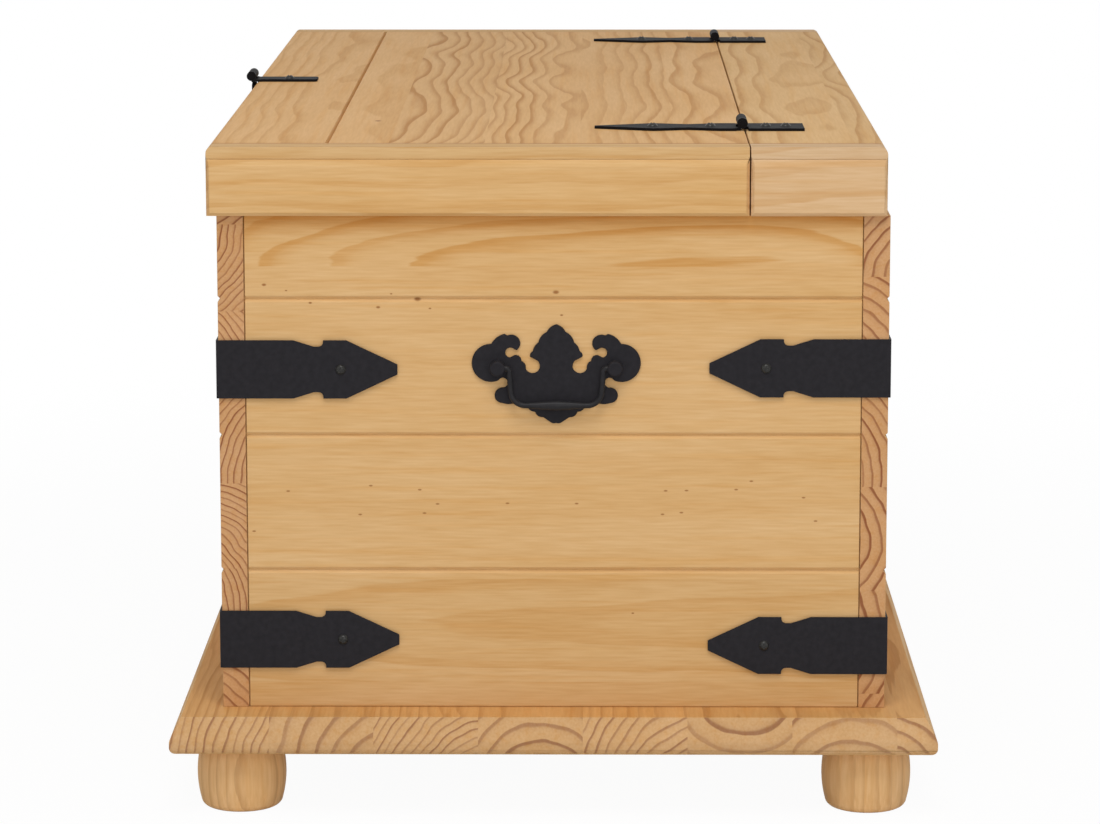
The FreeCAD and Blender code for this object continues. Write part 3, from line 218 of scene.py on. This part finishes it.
# Patterns of the wood: how many to the metre along and across the grain, and how broken they are
STREAKS = (6.0, 200.0, 2.0)
FIBRES = (40.0, 620.0, 3.0)
PATCHES = (5.0, 26.0, 2.0)
DRIFT_DETAIL = 1.5
DRIFT_SWING = 4
RIPPLE_SWING = 6
RIPPLE_STRETCH = 0.16
RIPPLES = 34.0
RIPPLE_DETAIL = 2.0
NOISE_LOW = 0.25
NOISE_HIGH = 0.75
STREAK_FROM = 0.48
STREAK_FULL = 0.74
STREAK_STRENGTH = 0.55
END_GRAIN_BLEND = 0.2

# Satin lacquer
LACQUER_ROUGHNESS = 0.46
FIBRE_ROUGHNESS = 0.10
RING_ROUGHNESS = 0.06
RING_RELIEF = 0.5
LACQUER_BUMP = {"Strength": 0.12, "Distance": 0.0003}
LACQUER_SHINE = 0.03


def pine(name, along, across, staves, first, width, middle, wander=0.006, reach=0.28, ripple=0.0015,
         pale=PALE_PINE, ring_colour=RING_BROWN, folded=False, feather=0.005, end_from=0.75,
         end_tone=END_GRAIN_TONE, end_ring=END_RING_BROWN, knots=(), specks=(), shade_bands=()):
    """Lacquered pine, glued up from staves. Each stave is cut from its own log: the log's heart lies
    some way across and some way below the stave's middle, its rings have their own width and show
    with their own strength on the long faces, and the heart may lean and bow along the stave. The
    first stave's edge, the staves' width and the board's middle give the staves' places."""
    material, tree, shader = new_material(name)
    coordinates = tree.nodes.new("ShaderNodeTexCoord")
    place = add_node(tree, "SeparateXYZ", {0: coordinates.outputs["Object"]}).node.outputs
    facing = add_node(tree, "SeparateXYZ", {0: coordinates.outputs["Normal"]}).node.outputs
    third = next(axis for axis in ("X", "Y", "Z") if axis not in (along, across))
    u, v, w = place[along], place[across], place[third]
    half = 0.0
    if folded:
        half = maths(tree, "SIGN", w)
        w = maths(tree, "ABSOLUTE", w)

    # Which stave, and where its log's heart was
    number = maths(tree, "FLOOR", maths(tree, "DIVIDE", maths(tree, "SUBTRACT", v, first), width))
    number_middle = maths(tree, "ADD", number, 0.5)
    where = maths(tree, "DIVIDE", number_middle, len(staves))
    heart_across, heart_depth, ring_width, shown, lean, bow = stave_logs(tree, where, staves)
    stave_middle = maths(tree, "MULTIPLY_ADD", number_middle, width, first)
    from_heart_v = maths(tree, "SUBTRACT", maths(tree, "SUBTRACT", v, stave_middle), heart_across)
    from_heart_w = maths(tree, "SUBTRACT", maths(tree, "SUBTRACT", w, middle), heart_depth)

    # The heart wanders, leans and bows along the log, which draws the arched figure on the faces
    seed = maths(tree, "MULTIPLY_ADD", number, STAVE_SEED, maths(tree, "MULTIPLY", half, HALF_SEED))
    travel = maths(tree, "ADD", maths(tree, "DIVIDE", u, reach), seed)
    drift = add_node(tree, "TexNoise", {"W": travel, "Scale": 1.0, "Detail": DRIFT_DETAIL}, 1,
                     noise_dimensions="1D")
    drift = add_node(tree, "SeparateColor", {0: drift}).node.outputs
    from_heart_v = maths(tree, "ADD", from_heart_v, centred(tree, drift[0], DRIFT_SWING * wander))
    from_heart_w = maths(tree, "ADD", from_heart_w, centred(tree, drift[1], DRIFT_SWING * wander))
    slope = maths(tree, "MULTIPLY_ADD", bow, u, lean)
    from_heart_w = maths(tree, "MULTIPLY_ADD", slope, u, from_heart_w)
    radius = length(tree, from_heart_v, from_heart_w)

    # Rings are a little uneven, and the fibres fray them on the long faces
    slow = joined(tree, maths(tree, "MULTIPLY", u, RIPPLE_STRETCH), v, maths(tree, "ADD", w, seed))
    uneven = add_node(tree, "TexNoise", {"Vector": slow, "Scale": RIPPLES, "Detail": RIPPLE_DETAIL})
    radius = maths(tree, "ADD", radius, centred(tree, uneven, RIPPLE_SWING * ripple))
    streak = grain_noise(tree, (u, v, w), *STREAKS)
    end_grain = spread(tree, maths(tree, "ABSOLUTE", facing[along]), end_from,
                       end_from + END_GRAIN_BLEND, 0.0, 1.0)
    fray = maths(tree, "MULTIPLY_ADD", end_grain, -feather, feather)
    radius = maths(tree, "MULTIPLY_ADD", maths(tree, "SUBTRACT", streak, 0.5), fray, radius)
    dark = ring_shade(tree, maths(tree, "DIVIDE", radius, ring_width), seed, end_grain)

    # Fibres, slow changes of tone and the tint of each stave
    fibre = grain_noise(tree, (u, v, w), *FIBRES)
    tone = grain_noise(tree, (u, v, w), *PATCHES)
    tint = add_node(tree, "TexWhiteNoise", {"W": maths(tree, "ADD", seed, TINT_SEED)}, 0,
                    noise_dimensions="1D")
    strength = maths(tree, "MAXIMUM", end_grain, shown)
    late_wood = mixed(tree, end_grain, ring_colour, end_ring)
    colour = mixed(tree, maths(tree, "MULTIPLY", dark, strength), pale, late_wood)
    streaked = spread(tree, streak, STREAK_FROM, STREAK_FULL, 0.0, STREAK_STRENGTH)
    colour = mixed(tree, streaked, colour, toned(tree, colour, STREAK_TONE))
    for amount, deep, light in ((fibre, FIBRE_DARK, FIBRE_LIGHT), (tone, TONE_DARK, TONE_LIGHT)):
        shade = mixed(tree, spread(tree, amount, NOISE_LOW, NOISE_HIGH, 0.0, 1.0, False), deep, light)
        colour = toned(tree, colour, shade)
    level = spread(tree, tint, NOISE_LOW, NOISE_HIGH, TINT_DARK, TINT_LIGHT, False)
    colour = toned(tree, colour, joined(tree, level, level, level))
    colour = mixed(tree, end_grain, colour, toned(tree, colour, end_tone))

    # Deeper colour towards chosen edges, which is painted shade, and resin marks
    for axis, clear, deep, amount, shade_tone in shade_bands:
        shade_share = spread(tree, maths(tree, "ABSOLUTE", place[axis]), clear, deep, 0.0, amount)
        colour = mixed(tree, shade_share, colour, toned(tree, colour, shade_tone))
    colour = resin_marks(tree, u, v, colour, knots, specks)
    tree.links.new(colour, shader.inputs["Base Color"])

    # The dark rings stand a little proud and shine a little less
    roughness = maths(tree, "MULTIPLY_ADD", fibre, FIBRE_ROUGHNESS, LACQUER_ROUGHNESS)
    roughness = maths(tree, "MULTIPLY_ADD", dark, RING_ROUGHNESS, roughness)
    tree.links.new(roughness, shader.inputs["Roughness"])
    relief = maths(tree, "MULTIPLY_ADD", dark, RING_RELIEF, fibre)
    bump = add_node(tree, "Bump", {**LACQUER_BUMP, "Height": relief})
    tree.links.new(bump, shader.inputs["Normal"])
    shader.inputs["Specular IOR Level"].default_value = LACQUER_SHINE
    return material


def finish_node(node, material):
    """A new finish on a piece that keeps its own shape."""
    mesh = nodes[node].data
    mesh.materials.clear()
    mesh.materials.append(material)


FOOT_ACROSS = 0.2185
FOOT_ALONG = 0.4395
# Painted light: the feet's pale is lighter than the other pine, making up for the shade under the base
# board.
FOOT_PALE_PAINTED_LIGHT = (0.765, 0.480, 0.232, 1)
foot_pine = pine("foot_pine", "Z", "Y", [
    (0.03, 0.05, 0.0085, 0.4),
    (-0.045, 0.03, 0.009, 0.4),
], first=-2 * FOOT_ACROSS, width=2 * FOOT_ACROSS, middle=FOOT_ALONG, wander=0.002, pale=FOOT_PALE_PAINTED_LIGHT,
    folded=True)
for depth in ("front", "back"):
    for side in ("left", "right"):
        finish_node(f"foot_{depth}_{side}", foot_pine)

# Base board
# A thick board glued up from broad staves that run the length of the chest, with a bevel round
# its top edge and a rounded nose below. Its ends show the staves' end grain.
MERGE_DISTANCE = 0.000002
FLAT_ANGLE = math.radians(0.5)
SHARP_ANGLE = math.radians(24)
SMOOTH_ANGLE = 35
ROUND_STEPS = 2
ROUND_PROFILE = 0.5
FLAT_WEIGHT = 90


def eased(node, body, material, rounding, shortest, smooth=SMOOTH_ANGLE):
    """A piece in a node's own shape, with its long sharp edges rounded over as sanding leaves them.
    Faces that meet at less than the smoothing angle shade as one, and flat faces shade flat."""
    piece = bpy.data.objects.new(node + "_eased", nodes[node].data.copy())
    bpy.context.scene.collection.objects.link(piece)
    bpy.ops.object.select_all(action="DESELECT")
    piece.select_set(True)
    bpy.context.view_layer.objects.active = piece
    bpy.ops.object.mode_set(mode="EDIT")
    bpy.ops.mesh.select_all(action="SELECT")
    bpy.ops.mesh.remove_doubles(threshold=MERGE_DISTANCE)
    bpy.ops.mesh.dissolve_limited(angle_limit=FLAT_ANGLE)
    bpy.ops.mesh.select_all(action="DESELECT")
    bpy.ops.mesh.select_mode(type="EDGE")
    bpy.ops.mesh.edges_select_sharp(sharpness=SHARP_ANGLE)
    bpy.ops.object.mode_set(mode="OBJECT")
    points = piece.data.vertices
    for edge in piece.data.edges:
        start, end = (points[number].co for number in edge.vertices)
        edge.select = edge.select and (end - start).length > shortest
    bpy.ops.object.mode_set(mode="EDIT")
    bpy.ops.mesh.bevel(offset=rounding, segments=ROUND_STEPS, profile=ROUND_PROFILE, affect="EDGES",
                       clamp_overlap=False)
    bpy.ops.object.mode_set(mode="OBJECT")
    bpy.ops.object.shade_smooth_by_angle(angle=math.radians(smooth))
    weights = piece.modifiers.new("flat_faces", "WEIGHTED_NORMAL")
    weights.keep_sharp = True
    weights.weight = FLAT_WEIGHT
    bpy.ops.object.modifier_apply(modifier=weights.name)
    piece.data.materials.clear()
    piece.data.materials.append(material)
    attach(piece, body)
    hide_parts(node)


BOARD_EDGE = 0.02
# Painted shade: the base board's top face is deepened and warmed, standing in for the shade and bounce
# light beside the body.
TOP_PAINTED_SHADE = (0.92, 0.78, 0.62, 1)
BASE_END_TONE = (0.88, 0.86, 0.935, 1)
BASE_END_RING = (0.38, 0.195, 0.090, 1)
plinth_pine = pine("plinth_pine", "X", "Y", [
    (0.090, -0.030, 0.0062, 0.5),
    (0.060, -0.025, 0.0125, 0.5),
    (0.045, -0.045, 0.0050, 0.5),
    (0.011, -0.035, 0.0110, 0.5),
    (0.050, -0.035, 0.0070, 0.5),
    (0.000, 0.040, 0.0130, 0.5),
    (0.005, -0.040, 0.0130, 0.5),
    (-0.060, -0.060, 0.0100, 0.5),
], first=-0.2684, width=0.0722, middle=0.059, end_from=0.42, end_tone=BASE_END_TONE,
    end_ring=BASE_END_RING, shade_bands=[("Z", 0.0715, 0.0719, 0.8, TOP_PAINTED_SHADE)])
eased("plinth_board", "carcass", plinth_pine, rounding=0.0008, shortest=BOARD_EDGE)

# Walls
# Edge-glued pine panels with V joints cut on the outside. The long walls run right through, so
# their end grain shows at the corners, and the end panels stand between them.
PANEL_ROUNDING = 0.0004
FLAME_ORANGE = (0.54, 0.265, 0.070, 1)
# Painted shade: the end panels' top strip under the lid's overhang is deepened and warmed, standing in for
# its shadow and bounce light.
UNDER_LID_PAINTED_SHADE = (0.90, 0.70, 0.44, 1)
END_PALE = (0.648, 0.404, 0.183, 1)
WALL_MIDDLE = 0.221
front_pine = pine("front_wall_pine", "X", "Z", [
    (-0.060, -0.050, 0.0070, 0.5),
    (0.005, -0.060, 0.0040, 0.4),
    (-0.050, -0.040, 0.0043, 0.5),
    (-0.025, 0.060, 0.0045, 0.35),
    (-0.035, -0.050, 0.0045, 0.5),
    (0.030, -0.045, 0.0045, 0.4),
    (0.030, -0.045, 0.0060, 0.4),
], first=0.0503, width=0.06006, middle=-WALL_MIDDLE)
back_pine = pine("back_wall_pine", "X", "Z", [
    (0.000, 0.070, 0.0090, 0.5),
    (0.010, -0.070, 0.0090, 0.4),
    (0.000, -0.045, 0.0080, 0.5),
    (-0.025, -0.055, 0.0060, 0.4),
    (-0.045, -0.045, 0.0080, 0.5),
    (-0.050, 0.050, 0.0070, 0.4),
], first=0.0088, width=0.0732, middle=WALL_MIDDLE)
end_pine = pine("end_wall_pine", "Y", "Z", [
    (0.010, -0.055, 0.0120, 0.50),
    (0.005, -0.026, 0.0120, 0.62, -0.056, 0.0),
    (0.060, -0.090, 0.0160, 0.14),
    (-0.060, -0.100, 0.0170, 0.12),
    (0.060, -0.080, 0.0160, 0.18),
    (-0.0365, -0.011, 0.0105, 0.90, -0.06, 0.50),
], first=0.0172, width=0.0729, middle=0.4414, wander=0.003, feather=0.003, pale=END_PALE,
    ring_colour=FLAME_ORANGE, folded=True, knots=[
        (-0.1981, 0.3690, 0.0013),
        (-0.1830, 0.3650, 0.0007),
        (-0.1665, 0.3565, 0.0010),
        (-0.1200, 0.3535, 0.0012),
        (-0.1110, 0.3628, 0.0007),
        (-0.0930, 0.3590, 0.0019),
        (-0.0845, 0.3527, 0.0008),
        (0.0018, 0.3640, 0.0018),
        (0.0057, 0.3481, 0.0009),
        (0.0550, 0.1390, 0.0008),
    ], specks=[(0.196, 0.236)], shade_bands=[("Z", 0.400, 0.4165, 0.9, UNDER_LID_PAINTED_SHADE)])
for wall, wall_pine in (("front_panel", front_pine), ("back_panel", back_pine),
                        ("end_panel_left", end_pine), ("end_panel_right", end_pine)):
    eased(wall, "carcass", wall_pine, PANEL_ROUNDING, BOARD_EDGE)

# Inner fixings
# Square glue blocks in the corners, beech dowels in the joints, plated screws up through the base
# board and plated studs in the feet. They show only inside or underneath.
block_pine = pine("block_pine", "Z", "X", [(0.03, 0.05, 0.006, 0.5)], first=-1.0, width=2.0, middle=0.2,
                  wander=0.003, folded=True)
for depth in ("front", "back"):
    for side in ("left", "right"):
        eased(f"corner_block_{depth}_{side}", "carcass", block_pine, rounding=0.0006,
              shortest=0.01)

CLOUD_LOW = 0.3
CLOUD_HIGH = 0.7
CLOUD_DETAIL = 4.0
ROUGHNESS_SPREAD = 0.16
CLOUD_BUMP = {"Strength": 0.2, "Distance": 0.0002}


def speckled(name, colour, light, dark, grain_size, roughness, metallic=0.0, shine=0.5):
    """A plain finish with a fine uneven tone and gloss."""
    material, tree, shader = new_material(name)
    coordinates = tree.nodes.new("ShaderNodeTexCoord").outputs["Object"]
    cloud = add_node(tree, "TexNoise",
                     {"Vector": coordinates, "Scale": 1 / grain_size, "Detail": CLOUD_DETAIL})
    level = spread(tree, cloud, CLOUD_LOW, CLOUD_HIGH, dark, light, False)
    tree.links.new(toned(tree, colour, joined(tree, level, level, level)), shader.inputs["Base Color"])
    uneven = maths(tree, "MULTIPLY_ADD", cloud, ROUGHNESS_SPREAD, roughness - ROUGHNESS_SPREAD / 2)
    tree.links.new(uneven, shader.inputs["Roughness"])
    bump = add_node(tree, "Bump", {**CLOUD_BUMP, "Height": cloud})
    tree.links.new(bump, shader.inputs["Normal"])
    shader.inputs["Metallic"].default_value = metallic
    shader.inputs["Specular IOR Level"].default_value = shine
    return material


dowel_beech = speckled("dowel_beech", (0.58, 0.36, 0.20, 1), light=1.06, dark=0.9, grain_size=0.002,
                       roughness=0.6)
plated_steel = speckled("plated_steel", (0.55, 0.55, 0.53, 1), light=1.08, dark=0.88, grain_size=0.0015,
                        roughness=0.35, metallic=1.0)
for node in ("corner_dowels", "lid_dowels", "rail_dowels"):
    finish_node(node, dowel_beech)
for node in ("plinth_screws", "foot_studs", "handle_nuts"):
    finish_node(node, plated_steel)

# Fixed back rail
# A narrow top of staves between two moulded end caps, closed behind by an apron and in front by a
# batten. It is dowelled to the walls and carries the hinges.
TOP_MIDDLE = 0.455
# Painted shade: the top boards darken towards their ends, standing in for the shade in the joint against
# the end caps.
JOINT_PAINTED_SHADE = (0.62, 0.45, 0.30, 1)
RAIL_PALE = (0.630, 0.394, 0.174, 1)
LID_RING = (0.40, 0.180, 0.050, 1)
shaded_top_ends = [("X", 0.4262, 0.4302, 0.7, JOINT_PAINTED_SHADE)]
rail_pine = pine("rail_pine", "X", "Y", [
    (0.020, -0.040, 0.0100, 0.5),
    (0.050, -0.050, 0.0100, 0.5),
], first=0.1345, width=0.0720, middle=TOP_MIDDLE, wander=0.008, pale=RAIL_PALE, ring_colour=LID_RING,
    feather=0.0012, shade_bands=shaded_top_ends)
RAIL_CAP_PALE = (0.675, 0.450, 0.252, 1)
# Painted shade: the caps' top strip and slope are toned darker and greyer, standing in for how light falls
# on the slope.
SLOPE_PAINTED_SHADE = (0.86, 0.88, 0.92, 1)
CAP_ROUNDING = 0.0003
CAP_EDGE = 0.006
CAP_SMOOTH_ANGLE = 9
SKIRT = {"first": 0.40, "width": 0.08}
cap_grain = {**SKIRT, "middle": 0.44, "ring_colour": FLAME_ORANGE, "folded": True,
             "shade_bands": [("Z", 0.4552, 0.4562, 1.0, SLOPE_PAINTED_SHADE)]}
cap_stave = [(0.055, -0.050, 0.0110, 0.45, 0.03, 0.0)]
rail_cap_pine = pine("rail_cap_pine", "Y", "Z", cap_stave, pale=RAIL_CAP_PALE, **cap_grain)
apron_pine = pine("apron_pine", "X", "Z", [(0.02, 0.05, 0.0080, 0.5)], middle=0.0, **SKIRT)
eased("rail_panel", "carcass", rail_pine, PANEL_ROUNDING, BOARD_EDGE)
for side in ("left", "right"):
    eased(f"rail_end_cap_{side}", "carcass", rail_cap_pine, CAP_ROUNDING, CAP_EDGE,
          CAP_SMOOTH_ANGLE)
for node in ("rail_back_apron", "rail_front_batten"):
    eased(node, "carcass", apron_pine, PANEL_ROUNDING, BOARD_EDGE)

# Lid
# A plain front board and a panel of boldly figured staves between two moulded end caps, with an
# apron in front and a batten behind. It lies on the walls and lifts at the front.
LID_PALE = (0.640, 0.382, 0.164, 1)
front_board_pine = pine("lid_front_pine", "X", "Y", [(0.035, -0.040, 0.0080, 0.3)], first=-0.2365,
                        width=0.081, middle=TOP_MIDDLE, pale=LID_PALE, ring_colour=LID_RING,
                        feather=0.0015, shade_bands=shaded_top_ends)
panel_pine = pine("lid_panel_pine", "X", "Y", [
    (0.040, -0.100, 0.0160, 0.2),
    (-0.060, -0.045, 0.0080, 0.75),
    (0.035, -0.040, 0.0065, 0.75),
    (-0.060, -0.040, 0.0095, 0.5),
    (0.020, -0.040, 0.0110, 0.55),
], first=-0.1787, width=0.0657, middle=TOP_MIDDLE, pale=LID_PALE, ring_colour=LID_RING,
    feather=0.0012, knots=[(0.290, -0.127, 0.0032)], shade_bands=shaded_top_ends)
# The lid caps take the end-grain colour from a lower share, so that their corner chamfers, half across the
# grain, deepen too: partly end grain, partly painted shade on the chamfers.
lid_cap_pine = pine("lid_cap_pine", "Y", "Z", cap_stave, end_from=0.62, **cap_grain)
eased("lid_front_board", "lid", front_board_pine, rounding=0.0005, shortest=BOARD_EDGE)
eased("lid_panel", "lid", panel_pine, PANEL_ROUNDING, BOARD_EDGE)
for side in ("left", "right"):
    eased(f"lid_end_cap_{side}", "lid", lid_cap_pine, CAP_ROUNDING, CAP_EDGE, CAP_SMOOTH_ANGLE)
for node in ("lid_front_apron", "lid_rear_batten"):
    eased(node, "lid", apron_pine, PANEL_ROUNDING, BOARD_EDGE)

# Strap hinges
# Flat black iron: a spear-ended strap on the lid and a square leaf on the rail, rolled round a
# common pin and held by domed cross-head screws.
IRON_ROUNDING = 0.0003
IRON_EDGE = 0.004


def painted_iron(name, colour, roughness, shine):
    """Iron under satin black paint."""
    return speckled(name, colour, light=1.15, dark=0.85, grain_size=0.004, roughness=roughness, shine=shine)


# Painted shade: the hinge and hasp iron is the corner irons' black paint made darker, holding back the
# sheen its tops catch.
shaded_hinge_iron = painted_iron("shaded_hinge_iron", (0.0085, 0.0080, 0.0088, 1), roughness=0.56, shine=0.04)
screw_black = speckled("screw_black", (0.014, 0.0135, 0.012, 1), light=2.8, dark=0.1, grain_size=0.0009,
                       roughness=0.30, shine=0.3)
for side in ("left", "right"):
    eased(f"hinge_strap_{side}", "lid", shaded_hinge_iron, IRON_ROUNDING, IRON_EDGE)
    eased(f"hinge_leaf_{side}", "carcass", shaded_hinge_iron, IRON_ROUNDING, IRON_EDGE)
    finish_node(f"hinge_pin_{side}", shaded_hinge_iron)
finish_node("hinge_strap_screws", screw_black)
finish_node("hinge_leaf_screws", screw_black)

# Hasp
# A leaf screwed to the lid, an arm that swings on its pin and ends in an eye, and a second eye on
# the front wall.
for node, body in (("hasp_leaf", "lid"), ("hasp_arm", "hasp_swing"), ("hasp_eye_plate", "carcass")):
    eased(node, body, shaded_hinge_iron, IRON_ROUNDING, IRON_EDGE)
finish_node("hasp_pin", shaded_hinge_iron)
finish_node("hasp_leaf_screw", screw_black)
finish_node("hasp_eye_screws", screw_black)

# Corner irons
# Black straps bent round the corners at two heights, each leg with a notched waist and a
# spearhead, and one screw in it.
NOTCH_EDGE = 0.0015
black_iron = painted_iron("black_iron", (0.0190, 0.0177, 0.0206, 1), roughness=0.56, shine=0.08)
for level in ("upper", "lower"):
    for depth in ("front", "back"):
        for side in ("left", "right"):
            eased(f"corner_iron_{level}_{depth}_{side}", "carcass", black_iron,
                  IRON_ROUNDING, NOTCH_EDGE)
finish_node("corner_iron_screws", screw_black)

# Drop handles
# A scrolled black plate on each end with two posts, and a bail that hangs in them. Nuts inside
# the wall hold the posts.
bail_iron = painted_iron("bail_iron", (0.0172, 0.0165, 0.0182, 1), roughness=0.38, shine=0.13)
for side in ("left", "right"):
    eased(f"handle_plate_{side}", "carcass", black_iron, rounding=0.0004, shortest=0.0)
    finish_node(f"handle_posts_{side}", black_iron)
    finish_node(f"bail_{side}", bail_iron)

# Studio
# A pale floor that keeps a soft shadow, white all round, two broad soft lamps and the camera at
# the chest's right end.
WHITE = (1, 1, 1, 1)
FLOOR_SIZE = 60.0
FLOOR_GREY = (0.86, 0.86, 0.86, 1)
FLOOR_ROUGHNESS = 0.9
FLOOR_SHINE = 0.1
NEAR_GLOW = 0.955
NEAR_REACH = 0.55
WHITE_REACH = 1.5
bpy.ops.mesh.primitive_plane_add(size=FLOOR_SIZE, location=(0.0, 0.0, 0.0))
floor = bpy.context.object
floor.name = "floor"
floor_material, floor_tree, floor_shader = new_material("pale_floor")
floor_shader.inputs["Base Color"].default_value = FLOOR_GREY
floor_shader.inputs["Roughness"].default_value = FLOOR_ROUGHNESS
floor_shader.inputs["Specular IOR Level"].default_value = FLOOR_SHINE


def seen_rays(tree):
    """1 for rays that the camera, a gloss or a glass sends, and 0 for the rest."""
    rays = tree.nodes.new("ShaderNodeLightPath").outputs
    mirrored = maths(tree, "MAXIMUM", rays["Is Glossy Ray"], rays["Is Transmission Ray"])
    return maths(tree, "MAXIMUM", rays["Is Camera Ray"], mirrored)


floor_spot = floor_tree.nodes.new("ShaderNodeTexCoord").outputs["Object"]
floor_distance = add_node(floor_tree, "VectorMath", {0: floor_spot}, 1, operation="LENGTH")
floor_glow = spread(floor_tree, floor_distance, NEAR_REACH, WHITE_REACH, NEAR_GLOW, 1.0)
glow = add_node(floor_tree, "Emission", {"Color": WHITE, "Strength": 1.0})
floor_mix = add_node(floor_tree, "MixShader", {
    0: maths(floor_tree, "MULTIPLY", seen_rays(floor_tree), floor_glow),
    1: floor_shader.outputs[0],
    2: glow,
})
floor_tree.links.new(floor_mix, floor_tree.nodes["Material Output"].inputs["Surface"])
floor.data.materials.append(floor_material)

AMBIENT = 0.45
world = bpy.data.worlds.new("studio")
bpy.context.scene.world = world
world.use_nodes = True
world_tree = world.node_tree
background = world_tree.nodes["Background"]
background.inputs["Color"].default_value = WHITE
world_strength = maths(world_tree, "MULTIPLY_ADD", seen_rays(world_tree), 1 - AMBIENT, AMBIENT)
world_tree.links.new(world_strength, background.inputs["Strength"])

CHEST_MIDDLE = Vector((0.0, 0.0, 0.25))


def soft_lamp(name, place, width, height, power):
    """A broad lamp turned towards the middle of the chest."""
    lamp_data = bpy.data.lights.new(name, "AREA")
    lamp_data.shape = "RECTANGLE"
    lamp_data.size = width
    lamp_data.size_y = height
    lamp_data.energy = power
    lamp = bpy.data.objects.new(name, lamp_data)
    bpy.context.scene.collection.objects.link(lamp)
    lamp.location = place
    lamp.rotation_euler = (CHEST_MIDDLE - Vector(place)).to_track_quat("-Z", "Y").to_euler()


soft_lamp("key", place=(1.9, 0.0, 2.95), width=1.5, height=1.5, power=48.0)
soft_lamp("fill", place=(3.3, 0.5, 1.0), width=2.2, height=1.6, power=17.0)

CAMERA_PLACE = (3.33970, 0.02498, 0.79888)
CAMERA_YAW = -0.00945
CAMERA_PITCH = 0.17745
CAMERA_ROLL = -0.00075
SENSOR_WIDTH = 36.0
LENS = 139.70
camera_data = bpy.data.cameras.new("camera")
camera_data.sensor_width = SENSOR_WIDTH
camera_data.lens = LENS
camera = bpy.data.objects.new("camera", camera_data)
bpy.context.scene.collection.objects.link(camera)
forward = Vector((-math.cos(CAMERA_YAW) * math.cos(CAMERA_PITCH),
                  math.sin(CAMERA_YAW) * math.cos(CAMERA_PITCH),
                  -math.sin(CAMERA_PITCH)))
right = Vector((math.sin(CAMERA_YAW), math.cos(CAMERA_YAW), 0.0))
up = right.cross(forward)
rolled_right = right * math.cos(CAMERA_ROLL) + up * math.sin(CAMERA_ROLL)
rolled_up = up * math.cos(CAMERA_ROLL) - right * math.sin(CAMERA_ROLL)
camera.matrix_world = Matrix.Translation(CAMERA_PLACE) @ Matrix(
    (rolled_right, rolled_up, -forward)).transposed().to_4x4()
bpy.context.scene.camera = camera
bpy.context.scene.view_settings.view_transform = "Standard"
